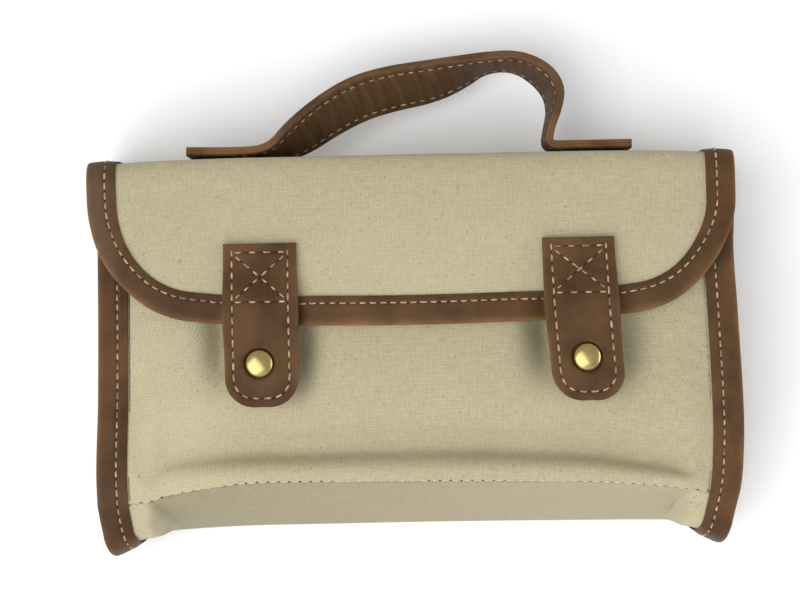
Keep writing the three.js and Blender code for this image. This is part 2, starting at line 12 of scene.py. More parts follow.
import bmesh
import bpy
import numpy as np
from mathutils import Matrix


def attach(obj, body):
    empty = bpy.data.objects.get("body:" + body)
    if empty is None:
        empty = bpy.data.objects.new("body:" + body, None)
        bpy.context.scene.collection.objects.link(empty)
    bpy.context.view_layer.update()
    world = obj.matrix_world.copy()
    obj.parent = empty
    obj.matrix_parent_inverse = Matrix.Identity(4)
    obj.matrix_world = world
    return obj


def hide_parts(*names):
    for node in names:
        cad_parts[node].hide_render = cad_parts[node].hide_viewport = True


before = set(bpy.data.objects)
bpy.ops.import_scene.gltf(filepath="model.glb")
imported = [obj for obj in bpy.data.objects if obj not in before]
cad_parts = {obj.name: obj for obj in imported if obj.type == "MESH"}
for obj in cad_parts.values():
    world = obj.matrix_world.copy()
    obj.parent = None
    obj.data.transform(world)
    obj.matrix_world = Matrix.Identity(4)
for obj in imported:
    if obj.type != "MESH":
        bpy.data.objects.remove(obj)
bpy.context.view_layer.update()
print("solids in the frame:", len(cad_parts))

# %% [markdown]
# ## Sizes
# A maker measures a bag in millimetres, so every shape below is worked out in millimetres.
# Only the last step, where a mesh is made, turns them to the metres of the scene.

# %% Sizes of the real pouch
MM = 0.001
HALF_WIDTH = 126  # half of the body over its leather edges
CANVAS = 1.2  # thickness of the cloth
LEATHER = 1.0  # thickness of the folded edging
GAP = 0.3  # clearance between layers
SIDE_WIDTH = 12.1  # leather that shows along a side seam
FLAP_WIDTH = 11.5  # leather that shows along the flap's edge
FLAP_RADIUS = 40  # lower corners of the flap
FLAP_SHIFT = -1.4  # the flap hangs this far off the middle
FLAP_SPREAD = 0.0065  # part of its width by which the flap is wider than the body
FLARE = math.radians(26)  # how far the side seams stand out at the base
BASE_PINCH = 0.018  # part of its width that the base draws in
LAP = 8  # cloth tucked under the neighbouring panel
TAB_THICKNESS = 2.6
TAB_RADIUS = 11  # lower corners of a tab
STRAP_HALF_WIDTH = 12
STRAP_HALF_THICKNESS = 1.8
SNAP_Y = -23.4  # level of both snaps
TABS = {  # the snap's x, half the tab's width, how it lies about the snap, height of its sewn box
    "left": {"x": -61.3, "half_width": 14.2, "shift": 0.8, "lean": 0.0, "bend": 0.0, "box": 19.2},
    "right": {"x": 65.5, "half_width": 14.0, "shift": -0.25, "lean": 0.077, "bend": 0.05, "box": 18.0},
}
SIDES = {"left": -1, "right": 1}

# %% Layers of the seams, from those sizes
LAYER = (CANVAS + GAP) / 2
SIDE_SLOT = LAYER + CANVAS / 2 + GAP
SIDE_DEPTH = SIDE_SLOT + LEATHER
LEG_START = 0.8  # from the seam to the cut edge of its leather
SEAM_X = HALF_WIDTH - SIDE_WIDTH - LEG_START
SIDE_REACH = HALF_WIDTH - SEAM_X
CLOTH_REACH = SIDE_REACH - LEATHER - GAP
BACK_EDGE_Z = SIDE_DEPTH - LAYER
BACK_Z = CANVAS / 2
FLAP_SLOT = CANVAS / 2 + GAP
FLAP_DEPTH = FLAP_SLOT + LEATHER
FLAP_INSET = LEATHER + GAP
FLAP_CENTRE_X = HALF_WIDTH - FLAP_RADIUS
GUSSET_SAG = 5  # how far the side walls fold inwards
GUSSET_FAN = (-60, 27)  # y and z of the point where the crease of a side wall ends
print("seams at x = +-", SEAM_X, "mm")

# %% [markdown]
# ## The camera
# The photograph looks straight down on the pouch from about 0.9 m. We turn the camera by a hair,
# because the pouch lies a little askew, and give it a long lens so that the sides stay square.

# %% Camera
CAMERA_X = -6.45  # the picture is centred a little to the left
CAMERA_HEIGHT = 891
ASKEW = math.radians(-1.2)
VIEW_DISTANCE = 835  # from the lens to the front of the pouch
VIEW_WIDTH = 312  # of the picture at that distance
SENSOR = 36

lens = bpy.data.cameras.new("photo_camera")
lens.sensor_width = SENSOR
lens.lens = SENSOR * VIEW_DISTANCE / VIEW_WIDTH
camera = bpy.data.objects.new("photo_camera", lens)
camera.location = (CAMERA_X * MM, 0, CAMERA_HEIGHT * MM)
camera.rotation_euler = (0, 0, ASKEW)
bpy.context.scene.collection.objects.link(camera)
bpy.context.scene.camera = camera
print("lens:", round(lens.lens, 1), "mm")

# %% [markdown]
# ## Nodes for the finishes
# Materials here are all drawn by nodes. One small function adds a node, sets it up and links it,
# so a finish reads as a list of what it is made of. Colours are the values that a picture editor
# shows, and one function turns them into the linear light that Blender works with. A colour is
# built up in layers: a ground first, and then each thing that covers it, with how far it does.


# %% Helpers for node trees
def linear(colour):
    """Linear colour from an sRGB hex value."""
    values = [int(colour[k:k + 2], 16) / 255 for k in (1, 3, 5)]
    return [v / 12.92 if v <= 0.04045 else ((v + 0.055) / 1.055) ** 2.4 for v in values] + [1.0]


def plug(node, inputs):
    """Set or link the inputs of a node."""
    for key, value in inputs.items():
        if isinstance(value, bpy.types.NodeSocket):
            node.id_data.links.new(value, node.inputs[key])
        else:
            node.inputs[key].default_value = value


def add(tree, kind, inputs=None, out=0, **settings):
    """Add a node with its settings and inputs, and give one of its outputs."""
    made = tree.nodes.new(kind)
    for name, value in settings.items():
        setattr(made, name, value)
    plug(made, inputs or {})
    return made.outputs[out]


def new_finish(name):
    """Material with its tree and its main shader."""
    material = bpy.data.materials.new(name)
    material.use_nodes = True
    return material, material.node_tree, material.node_tree.nodes["Principled BSDF"]


def painted(tree, ground, *layers):
    """Colour in layers over a ground, each with how far it covers, its colour and how it mixes."""
    ground = linear(ground)
    for cover, colour, way in layers:
        paint = linear(colour) if isinstance(colour, str) else colour
        sockets = {"Factor": cover, "A": ground, "B": paint}
        ground = add(tree, "ShaderNodeMix", sockets, "Result", data_type="RGBA", blend_type=way)
    return ground


print("white in linear light:", linear("#ffffff"))

# %% [markdown]
# ## Cotton canvas
# Heavy canvas is a plain weave: each thread goes over one and under the next. Two wave textures
# are the round threads of the two directions, and a checker says which one lies on top. Uneven
# yarn gives long light and dark streaks, bits of seed in the cotton leave dark flecks, and the
# gaps between threads are drawn darker as painted shade. The pattern follows the cloth's own
# flat coordinates, which each panel carries as a UV map, so the threads run with the cloth round
# every bend. A value on its points makes it paler, mostly as painted light where a part is lit more.

# %% Weave
THREAD = 0.8 * MM  # drawn a little coarser than the real yarn, so that it shows
SLUB_WIDTH = 0.8 * MM  # one thread
SLUB_LENGTH = 5 * MM  # a thick place in it
WAVE_PERIOD = math.pi / 10  # of a wave texture of scale 1


def woven(tree, lay):
    """Height of a plain weave: two sets of round threads that take turns on top."""
    yarn = {
        "Vector": lay, "Scale": WAVE_PERIOD / THREAD,
        "Distortion": 2.2, "Detail": 1.0, "Detail Scale": 0.5,
    }
    warp = add(tree, "ShaderNodeTexWave", yarn, "Fac", bands_direction="X")
    weft = add(tree, "ShaderNodeTexWave", yarn, "Fac", bands_direction="Y")
    over = add(tree, "ShaderNodeTexChecker", {"Vector": lay, "Scale": 1 / THREAD}, "Fac")
    return add(tree, "ShaderNodeMix", {"Factor": over, "A": warp, "B": weft})


def uneven_yarn(tree, lay):
    """Thick and thin places along both sets of threads."""
    streaks = []
    for scale in ((1 / SLUB_WIDTH, 1 / SLUB_LENGTH, 1), (1 / SLUB_LENGTH, 1 / SLUB_WIDTH, 1)):
        drawn = add(tree, "ShaderNodeMapping", {"Vector": lay, "Scale": scale})
        streaks.append(add(tree, "ShaderNodeTexNoise", {"Vector": drawn, "Scale": 1.0, "Detail": 2.0}))
    return add(tree, "ShaderNodeMix", {"Factor": 0.5, "A": streaks[0], "B": streaks[1]})


# %% Canvas finish
FLECK = 1.3 * MM  # bits of seed, drawn larger than most of them are, so that they show
CLOUD = 30 * MM  # lighter and darker patches


def canvas_finish(name, pale, dark, wear_and_light_tone):
    """Unbleached cotton canvas: matt, with visible yarn, painted shade between threads, and paler where a
    value on its points paints light.
    """
    material, tree, shader = new_finish(name)
    lay = add(tree, "ShaderNodeUVMap", uv_map="lay")
    weave = woven(tree, lay)
    slub = uneven_yarn(tree, lay)
    cloud = add(tree, "ShaderNodeTexNoise", {"Vector": lay, "Scale": 1 / CLOUD, "Detail": 3.0})
    seed = add(tree, "ShaderNodeTexNoise", {"Vector": lay, "Scale": 1 / FLECK, "Detail": 2.0})
    streak = add(tree, "ShaderNodeMapRange", {"Value": slub, "From Min": 0.36, "From Max": 0.64})
    tone = add(tree, "ShaderNodeMix", {"Factor": 0.35, "A": streak, "B": cloud})
    wear_and_light = add(tree, "ShaderNodeAttribute", out="Fac", attribute_name="wear_and_light")
    # Painted shade: the gaps between the threads are drawn darker.
    raised = add(tree, "ShaderNodeMapRange", {"Value": weave, "From Min": 0.0, "From Max": 0.7})
    thread_gap_shade = painted(tree, "#dcd8d0", (raised, "#ffffff", "MIX"))
    specks = {"Value": seed, "From Min": 0.64, "From Max": 0.72, "To Max": 0.55}
    fleck = add(tree, "ShaderNodeMapRange", specks)
    colour = painted(
        tree, dark, (tone, pale, "MIX"), (wear_and_light, wear_and_light_tone, "MIX"), (0.8, thread_gap_shade, "MULTIPLY"),
        (fleck, "#665b42", "MIX"),
    )
    height = add(tree, "ShaderNodeMix", {"Factor": 0.35, "A": weave, "B": slub})
    bump = add(tree, "ShaderNodeBump", {"Height": height, "Strength": 0.5, "Distance": 0.35 * MM})
    plug(shader, {
        "Base Color": colour, "Normal": bump, "Roughness": 0.95, "Specular IOR Level": 0.15,
        "Sheen Weight": 0.12, "Sheen Roughness": 0.6,
    })
    return material


canvas = canvas_finish("unbleached_cotton_canvas", "#b5ac8d", "#9f9577", "#c4bb9e")
# Painted shade: the base is the same canvas, drawn darker and greyer because it faces away from the light.
base_canvas = canvas_finish("shaded_cotton_canvas", "#988f72", "#867d61", "#b8ae90")
print("woven finishes:", canvas.name, base_canvas.name)

# %% [markdown]
# ## Leather
# The leather is vegetable-tanned and waxed, so it is matt, with a fine grain and cloudy colour.
# Where it is cut or folded it is drawn lighter: wear at the cut edges, and at the folds wear with a
# painted highlight. Each leather piece carries that as a value on its points. The inner face of
# the strap is the rough flesh side, named flesh. Another value paints a grey sheen where it is
# above zero, and painted shade where it is below zero.

# %% Leather finish
GRAIN = 1.1 * MM  # pebbles of the grain, drawn coarser than the real ones, so that they show
PORE = 0.45 * MM
MOTTLE = 16 * MM  # cloudy patches of the tan
CREASE = 2.6 * MM  # soft wrinkles across the flesh side
CREASE_LENGTH = 20 * MM


def creased(tree):
    """Soft wrinkles across a strip, which follow its flat layout."""
    lay = add(tree, "ShaderNodeUVMap", uv_map="lay")
    across = {"Vector": lay, "Scale": (1 / CREASE, 1 / CREASE_LENGTH, 1)}
    drawn = add(tree, "ShaderNodeMapping", across)
    streak = add(tree, "ShaderNodeTexNoise", {"Vector": drawn, "Scale": 1.0, "Detail": 3.0})
    return add(tree, "ShaderNodeMapRange", {"Value": streak, "From Min": 0.3, "From Max": 0.7})


def leather_finish(name, pale, dark, wear_and_light_tone, flesh_tone):
    """Waxed vegetable-tanned leather: low gloss, fine grain, lighter where it is rubbed and where a
    highlight is painted, with painted sheen and painted shade.
    """
    material, tree, shader = new_finish(name)
    place = add(tree, "ShaderNodeTexCoord", out="Object")
    grain = add(tree, "ShaderNodeTexVoronoi", {"Vector": place, "Scale": 1 / GRAIN})
    pore = add(tree, "ShaderNodeTexNoise", {"Vector": place, "Scale": 1 / PORE, "Detail": 3.0})
    mottle = add(tree, "ShaderNodeTexNoise", {"Vector": place, "Scale": 1 / MOTTLE, "Detail": 5.0})
    cloudy = add(tree, "ShaderNodeMapRange", {"Value": mottle, "From Min": 0.35, "From Max": 0.65})
    wear_and_light = add(tree, "ShaderNodeAttribute", out="Fac", attribute_name="wear_and_light")
    sheen_and_shade = add(tree, "ShaderNodeAttribute", out="Fac", attribute_name="sheen_and_shade")
    flesh = add(tree, "ShaderNodeAttribute", out="Fac", attribute_name="flesh")
    # Painted sheen where the value is above zero, painted shade where it is below.
    painted_sheen = add(tree, "ShaderNodeMapRange", {"Value": sheen_and_shade, "From Min": 0.0, "From Max": 1.0})
    painted_shade = add(tree, "ShaderNodeMapRange", {"Value": sheen_and_shade, "From Min": 0.0, "From Max": -1.0})
    specks = {"Value": pore, "From Min": 0.35, "From Max": 0.65, "To Max": 0.35}
    speck = add(tree, "ShaderNodeMapRange", specks)
    patches = {"Value": mottle, "From Min": 0.3, "From Max": 0.6, "To Min": 0.35}
    patch = add(tree, "ShaderNodeMapRange", patches)
    patchy = add(tree, "ShaderNodeMath", {0: wear_and_light, 1: patch}, operation="MULTIPLY")
    crease = creased(tree)
    fibres = painted(tree, dark, (crease, flesh_tone, "MIX"))
    colour = painted(
        tree, dark, (cloudy, pale, "MIX"), (painted_sheen, "#675a48", "MIX"), (painted_shade, "#2b1d10", "MIX"),
        (speck, wear_and_light_tone, "SOFT_LIGHT"), (patchy, wear_and_light_tone, "MIX"), (flesh, fibres, "MIX"),
    )
    hide = add(tree, "ShaderNodeMix", {"Factor": 0.4, "A": grain, "B": pore})
    height = add(tree, "ShaderNodeMix", {"Factor": flesh, "A": hide, "B": crease})
    bump = add(tree, "ShaderNodeBump", {"Height": height, "Strength": 0.35, "Distance": 0.25 * MM})
    dull = {"Value": mottle, "From Min": 0.3, "From Max": 0.7, "To Min": 0.5, "To Max": 0.68}
    rough = add(tree, "ShaderNodeMapRange", dull)
    plug(shader, {"Base Color": colour, "Roughness": rough, "Normal": bump, "Specular IOR Level": 0.15})
    return material


leather = leather_finish("waxed_brown_leather", "#594026", "#412c17", "#88623f", "#5b4631")
print("leather finish:", leather.name)

# %% [markdown]
# ## Thread, needle holes and brass
# The seams in leather are sewn with waxed linen thread, and the hem with cotton. Each needle
# hole is drawn as a dark bead, painted shade for the inside of the hole, almost black. The snaps
# are pressed from brass. All four are small in the picture, so one noise each is enough: it
# breaks up the colour in patches of a real size.

# %% Small finishes
TWIST = 2.6 * MM  # light and dark places along a thread
FRAY = 0.6 * MM  # ragged edge of a needle hole
HANDLING = 1.5 * MM  # marks of handling on the brass


def small_finish(name, size, detail, dark, pale, low=0.0, high=1.0):
    """Finish that varies between two colours in patches of some size."""
    material, tree, shader = new_finish(name)
    place = add(tree, "ShaderNodeTexCoord", out="Object")
    patches = add(tree, "ShaderNodeTexNoise", {"Vector": place, "Scale": 1 / size, "Detail": detail})
    cover = add(tree, "ShaderNodeMapRange", {"Value": patches, "From Min": low, "From Max": high})
    plug(shader, {"Base Color": painted(tree, dark, (cover, pale, "MIX"))})
    return material, shader, patches


# Twisted and waxed, so it is pale with dark places and a little shiny.
thread, shader, _ = small_finish("waxed_linen_thread", TWIST, 3.0, "#6f5b44", "#b5997a", 0.35, 0.65)
plug(shader, {"Roughness": 0.7})

# Pale and matt, almost the colour of the cloth.
cotton, shader, _ = small_finish("undyed_cotton_thread", TWIST, 3.0, "#a0977a", "#cfc6a8")
plug(shader, {"Roughness": 0.9})

# Painted shade for the inside of a deep needle hole, so almost black.
needle_hole_shade, shader, _ = small_finish("needle_hole_shade_finish", FRAY, 2.0, "#120b06", "#2a1a0f")
plug(shader, {"Roughness": 0.9})

# A yellow mirror, dulled in places by fine marks.
brass, shader, marks = small_finish("polished_pressed_brass", HANDLING, 6.0, "#9a8853", "#b2a16c")
dull = {"Value": marks, "From Min": 0.3, "From Max": 0.7, "To Min": 0.2, "To Max": 0.34}
plug(shader, {"Roughness": add(brass.node_tree, "ShaderNodeMapRange", dull), "Metallic": 1.0})
print("small finishes:", thread.name, cotton.name, needle_hole_shade.name, brass.name)

# %% [markdown]
# ## The cloth surfaces
# A bag could be blown up by a cloth simulation, but this one is flat and well filled, and its
# few soft folds are known from the photograph. So we draw each panel as a tailor would, from
# cross-sections: rows of control points at some stations across the width, with smooth
# curves through them. Each row below is a station, from the mouth or seam where the panel starts.

# %% Control points of the front and the base, as x and then (y, z)
FRONT = (
    (-SEAM_X, ((45, 47), (26, 49.5), (-5, 51), (-35, 52.5), (-56, 53.2), (-70, 53.4), (-78, 51.2))),
    (-106, ((45.2, 47.2), (26.5, 50), (-3, 52.6), (-46, 54.6), (-66, 51.5), (-73.5, 53.8), (-77, 51.2))),
    (-98, ((45.5, 47.5), (27, 51), (0, 54), (-42, 56.2), (-60, 49), (-68.4, 55), (-74.6, 51.2))),
    (-60, ((46, 48), (28, 52), (2, 56), (-42.5, 58.8), (-58.5, 43.2), (-65.4, 56.4), (-70.4, 51.5))),
    (0, ((46, 48), (28, 52.5), (2, 57), (-43, 59.8), (-58.3, 42.8), (-65.4, 56.4), (-71.1, 51.5))),
    (60, ((46, 48), (28, 52), (2, 56), (-45, 58.8), (-60.8, 42.8), (-67.2, 56.4), (-72.4, 51.5))),
    (98, ((45.5, 47.5), (27, 51), (0, 54), (-49, 56.2), (-67, 46), (-72, 55.6), (-75, 51.2))),
    (106, ((45.2, 47.2), (26.5, 50), (-3, 52.6), (-49, 54.6), (-68.4, 50), (-73.8, 54.2), (-76.3, 51.2))),
    (SEAM_X, ((45, 47), (26, 49.5), (-5, 51), (-38, 52.5), (-60, 53), (-70, 53.4), (-77.5, 51.2))),
)
SOLE = ((-90, BACK_Z), (-77, BACK_Z))
SOLE_EDGE = ((-90, BACK_EDGE_Z), (-77, BACK_EDGE_Z))
BASE = (
    (-SEAM_X, ((-85.5, 49.1), (-92.8, 46), (-94.6, 10), *SOLE_EDGE)),
    (-108, ((-83, 49.4), (-91.5, 45.5), (-94.8, 8), *SOLE)),
    (-102.5, ((-78.6, 45.5), (-85.6, 29), (-93.8, 5), *SOLE)),
    (-60, ((-74.6, 45), (-82.4, 28), (-92.3, 5), *SOLE)),
    (0, ((-74.6, 45), (-82.6, 28), (-92.3, 5), *SOLE)),
    (60, ((-75.6, 45), (-83.6, 28), (-93, 5), *SOLE)),
    (104, ((-78.4, 45), (-85.4, 28), (-93.8, 5), *SOLE)),
    (109, ((-82, 49), (-91, 44), (-94.4, 7), *SOLE)),
    (SEAM_X, ((-84.8, 49.1), (-92.5, 46), (-94.2, 9), *SOLE_EDGE)),
)
print("stations across the front and the base:", len(FRONT), len(BASE))

# %% Control points of the back, top and flap, for the right half
BACK_FLAT = ((-76.5, BACK_Z), (-40, BACK_Z), (40, BACK_Z), (54, BACK_Z))
BACK_EDGE = ((-76.5, BACK_EDGE_Z), (-40, BACK_EDGE_Z), (40, BACK_EDGE_Z), (53, BACK_EDGE_Z))
TOP_INNER = ((55.9, 8), (55.9, 27), (55.9, 45.3), (54.5, 54.2), (38, 55.7), (12, 58.2))
TOP_EDGE = ((55, 8), (55, 27), (55, 45), (54, 54), (38, 55.5), (12, 58))
COVER_HALF = (
    (0, (*BACK_FLAT, (57, 6), (57, 27), (57, 47), (55.5, 56), (38, 58), (12, 60.4), (-9.7, 61))),
    (60, (*BACK_FLAT, (57, 6), (57, 27), (57, 47), (55.5, 55.5), (38, 57.4), (12, 60), (-8.7, 60.5))),
    (100, (*BACK_FLAT, (56.5, 6), (56.5, 27), (56.5, 46), (55, 54.5), (38, 56), (12, 58.6), (-5.2, 59.2))),
    (SEAM_X, (*BACK_EDGE, *TOP_INNER, (-3.4, 58.7))),
    (HALF_WIDTH, (*BACK_EDGE, *TOP_EDGE, (-2.4, 58.5))),
)
COVER = tuple((-x, points) for x, points in COVER_HALF[:0:-1]) + COVER_HALF
print("stations across the cover:", len(COVER))


# %% Curves through the control points
def ramp(value, start, end):
    """0 up to the start and 1 from the end on, with a straight rise between."""
    return np.clip((value - start) / (end - start), 0, 1)


def ease(part):
    """Smooth step from 0 to 1."""
    return part * part * (3 - 2 * part)


def blend(stations, values, x):
    """Smooth values at x between stations, with no overshoot."""
    width = np.diff(stations)
    slope = np.diff(values) / width
    product = slope[:-1] * slope[1:]
    total = np.where(product > 0, slope[:-1] + slope[1:], 1)
    tangent = np.concatenate([slope[:1], np.where(product > 0, 2 * product / total, 0), slope[-1:]])
    k = np.clip(np.searchsorted(stations, x, side="right") - 1, 0, len(stations) - 2)
    s = (x - stations[k]) / width[k]
    rise = np.diff(values)[k]
    start = tangent[k] * width[k]
    end = tangent[k + 1] * width[k]
    return values[k] + s * (start + s * (3 * rise - 2 * start - end + s * (start + end - 2 * rise)))


def rails(rows, x):
    """Control points of a table at x, as (point, axis, ...)."""
    stations = np.array([row[0] for row in rows], float)
    points = np.array([row[1] for row in rows], float)
    count = points.shape[1]
    return np.array([[blend(stations, points[:, k, axis], x) for axis in (0, 1)] for k in range(count)])


def spline(points, t):
    """Point of a quadratic B-spline, with t counted in spans."""
    last = len(points) - 3
    span = np.clip(np.floor(t).astype(int), 0, last)
    s = t - span
    before, turn, after = (np.take_along_axis(points, (span + k)[None, None], 0)[0] for k in range(3))
    start = np.where(span == 0, before, (before + turn) / 2)
    end = np.where(span == last, after, (turn + after) / 2)
    return (1 - s) ** 2 * start + 2 * s * (1 - s) * turn + s ** 2 * end


def path_at(controls, t):
    """Points of one curve at many places."""
    points = np.array(controls, float)
    return spline(np.repeat(points[:, :, None], len(t), axis=2), t)


# %% Surfaces of the panels
FRONT_SPANS = 5
BASE_SPANS = 4
SHOULDER = 0.03  # part of a span in which the base widens from its tongue
COVER_SPANS = 9
BINDING_END = 2  # span of the cover where the side edging ends
BROW_END = 7  # span where the flap lies on the front
PRESS = 2.8  # how far the flap's edge is pressed down beside the tabs
PRESS_Y = -6
PRESS_WIDTH = 7
PRESS_LENGTH = 9


def front_at(x, t):
    """Point of the front at x, from the mouth down."""
    x, t = np.broadcast_arrays(x, t)
    return np.stack([x, *spline(rails(FRONT, x), t)])


def base_at(x, t):
    """Point of the base at x, from the front's hem round to the back."""
    x, t = np.broadcast_arrays(x, t)
    controls = np.concatenate([rails(FRONT, x)[-1:], rails(BASE, x)])
    pinch = 1 - BASE_PINCH * np.sin(np.pi * t / BASE_SPANS)
    return np.stack([x * pinch, *spline(controls, t)])


def cover_at(x, t):
    """Point of the back, top and flap at x, from the base up and over."""
    x, t = np.broadcast_arrays(x, t)
    part = ease(ramp(t, BINDING_END, BROW_END))
    y, z = spline(rails(COVER, x), t)
    for tab in TABS.values():
        for side in SIDES.values():
            aside = (x - tab["x"] - side * tab["half_width"]) / PRESS_WIDTH
            z = z - part * PRESS * np.exp(-aside ** 2 - ((y - PRESS_Y) / PRESS_LENGTH) ** 2)
    return np.stack([x + (FLAP_SHIFT + FLAP_SPREAD * x) * part, y, z])


print("front at the middle of the valley:", np.round(front_at(0.0, 3.5), 1))

# %% Places on the surfaces
NUDGE = 0.01
HALVINGS = 25


def outward(surface, x, t):
    """Unit normal of a surface."""
    along = surface(x, t + NUDGE) - surface(x, t - NUDGE)
    across = surface(x + NUDGE, t) - surface(x - NUDGE, t)
    normal = np.cross(along, across, axis=0)
    return normal / np.linalg.norm(normal, axis=0)


def span_at(surface, x, y, low, high):
    """Span where a surface passes y, between two spans."""
    x, y, low, high = np.broadcast_arrays(x, y, float(low), float(high))
    rising = surface(x, high)[1] > surface(x, low)[1]
    for _ in range(HALVINGS):
        middle = (low + high) / 2
        short = (surface(x, middle)[1] < y) == rising
        low, high = np.where(short, middle, low), np.where(short, high, middle)
    return (low + high) / 2


def flap_at(x, distance, lift):
    """Point on the flap at a distance above its hem, lifted off the cloth."""
    x, distance, lift = np.broadcast_arrays(x, distance, lift)
    hem = cover_at(x, COVER_SPANS)[1]
    t = span_at(cover_at, x, hem + distance, BROW_END, COVER_SPANS)
    return cover_at(x, t) + lift * outward(cover_at, x, t)


print("hem of the flap at the middle:", np.round(flap_at(0.0, 0.0, 0.0), 1))

# %% [markdown]
# ## From surfaces to meshes
# Cloth has a thickness, so each panel becomes a closed shell with rounded edges. Its UV map is
# the cloth laid flat: distances measured along the weave. Leather edging is a loft: one section
# carried along a seam. Every closed mesh has its double points merged and its faces turned out.
# The sides of a soft bag are never straight, so all points pass through one small sway first.

# %% Sway of the sides
SWAY = {  # how far each side moves out, by level
    "left": ((-94, 0.8), (-70, 0.8), (-35, -0.5), (0, -1.0), (28, -1.1), (42, -0.3), (56, 0.0)),
    "right": (
        (-94, -2.0), (-84, -1.3), (-68, 0.5), (-50, 1.3),
        (-8, 0.0), (18, -1.0), (35, -0.2), (56, 0.0),
    ),
}
SWAY_START = 80  # the sides give from here outwards


def swayed(points):
    """Points moved with the two sides, which bow in below the top and out towards the base."""
    x, y, z = points
    part = ramp(np.abs(x), SWAY_START, HALF_WIDTH)
    moved = np.zeros_like(x)
    for name, side in SIDES.items():
        stations, shifts = np.array(SWAY[name], float).T
        level = np.clip(y, stations[0], stations[-1])
        moved += np.where(x * side > 0, side * blend(stations, shifts, level), 0)
    return np.stack([x + moved * ease(part), y, z])


# %% Closed meshes
MERGE = 1e-7  # metres between points that count as one


def closed(mesh):
    """Merge the double points of a mesh and turn its faces out."""
    work = bmesh.new()
    work.from_mesh(mesh)
    bmesh.ops.remove_doubles(work, verts=work.verts, dist=MERGE)
    bmesh.ops.dissolve_degenerate(work, edges=work.edges, dist=MERGE)
    bmesh.ops.recalc_face_normals(work, faces=work.faces)
    work.to_mesh(mesh)
    work.free()


def make_mesh(name, corners, faces, lay, finish, values):
    """Closed mesh object from corners in millimetres, with its flat layout and values on its points."""
    mesh = bpy.data.meshes.new(name)
    mesh.from_pydata((swayed(corners.T).T * MM).tolist(), [], faces)
    order = np.empty(len(mesh.loops), dtype=np.int32)
    mesh.loops.foreach_get("vertex_index", order)
    mesh.uv_layers.new(name="lay").data.foreach_set("uv", (lay[order] * MM).ravel())
    for label, value in values.items():
        mesh.attributes.new(label, "FLOAT", "POINT").data.foreach_set("value", value.astype(np.float32))
    closed(mesh)
    mesh.shade_smooth()
    mesh.materials.append(finish)
    piece = bpy.data.objects.new(name, mesh)
    bpy.context.scene.collection.objects.link(piece)
    print(name, len(mesh.polygons), "faces")
    return piece


def settle(piece, slot, *nodes):
    """Fix a piece to the pouch, in place of its solids."""
    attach(piece, "root")
    if nodes:
        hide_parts(*nodes)


# %% Shells and lofts
def arcs(grid):
    """Distances along a grid of points: across its columns and down its rows."""
    down = np.linalg.norm(np.diff(grid, axis=1), axis=0)
    over = np.linalg.norm(np.diff(grid, axis=2), axis=0)
    v = np.concatenate([np.zeros((1, grid.shape[2])), np.cumsum(down, axis=0)])
    u = np.concatenate([np.zeros((grid.shape[1], 1)), np.cumsum(over, axis=1)], axis=1)
    return u, v


def shell(name, grid, thickness, rounding, finish, fold=None, values=None, lay=None):
    """Closed sheet about a grid of points. A fold normal joins the last column to itself.
    The layout of its weave is measured along the sheet, unless another one is given."""
    rows, columns = grid.shape[1:]
    normal = np.cross(np.gradient(grid, axis=1), np.gradient(grid, axis=2), axis=0)
    normal /= np.linalg.norm(normal, axis=0) + NUDGE * MM
    u, v = arcs(grid)
    edges = [u, v, v[-1] - v]
    if fold is None:
        edges.append(u[:, -1:] - u)
    else:
        normal[:, :, -1] = np.array(fold)[:, None]
    short = rounding - np.minimum(np.minimum.reduce(edges), rounding)
    half = thickness / 2 - rounding + np.sqrt(rounding ** 2 - short ** 2)
    corners = np.concatenate([(grid + s * half * normal).reshape(3, -1).T for s in (1, -1)])
    middle = columns // 2
    flat = np.stack([u - u[:, middle:middle + 1], v] if lay is None else lay, -1).reshape(-1, 2)
    index = np.arange(rows * columns).reshape(rows, columns)
    top = np.stack([index[:-1, :-1], index[1:, :-1], index[1:, 1:], index[:-1, 1:]], -1).reshape(-1, 4)
    lines = [index[0], index[-1], index[:, 0]] + ([index[:, -1]] if fold is None else [])
    rim = [np.stack([k[:-1], k[1:], k[1:] + index.size, k[:-1] + index.size], -1) for k in lines]
    faces = np.concatenate([top, top[:, ::-1] + index.size, *rim]).tolist()
    points = {label: np.tile(value.ravel(), 2) for label, value in (values or {}).items()}
    return make_mesh(name, corners, faces, np.tile(flat, (2, 1)), finish, points)


def loft(name, rings, finish, values):
    """Closed solid through rings of points, as (axis, ring, point)."""
    count, around = rings.shape[1:]
    corners = rings.reshape(3, -1).T
    u, v = arcs(rings)
    index = np.arange(count * around).reshape(count, around)
    turned = np.roll(index, -1, axis=1)
    skin = np.stack([index[:-1], turned[:-1], turned[1:], index[1:]], -1).reshape(-1, 4)
    faces = skin.tolist() + [index[0].tolist(), index[-1].tolist()]
    flat = np.stack([v, u], -1).reshape(-1, 2)
    return make_mesh(name, corners, faces, flat, finish, {k: w.ravel() for k, w in values.items()})


# %% Soft waves
WAVE_COUNT = 9


def crumple(x, y, size, seed):
    """Soft random waves of about this size, from -1 to 1."""
    rng = np.random.default_rng(seed)
    turn, phase = rng.uniform(0, 2 * np.pi, (2, WAVE_COUNT))
    pitch = size * rng.uniform(0.7, 1.6, WAVE_COUNT)
    total = np.zeros(np.shape(x))
    for a, b, p in zip(turn, phase, pitch):
        total += np.sin(2 * np.pi * (x * np.cos(a) + y * np.sin(a)) / p + b)
    return 2 * total / WAVE_COUNT


def waves(x, y, rows):
    """Soft waves from rows of their height, the stretch of y, their size and their seed."""
    return sum(height * crumple(x, stretch * y, size, seed) for height, stretch, size, seed in rows)


# %% [markdown]
# ## The side seams
# At a side seam the front, the gusset and the leather lie in layers, and the whole seam stands
# out like a flange. A frame at each place along the seam says which way is out and which way is
# up, so the cloth, the leather and the stitches can all be laid from the same frames.


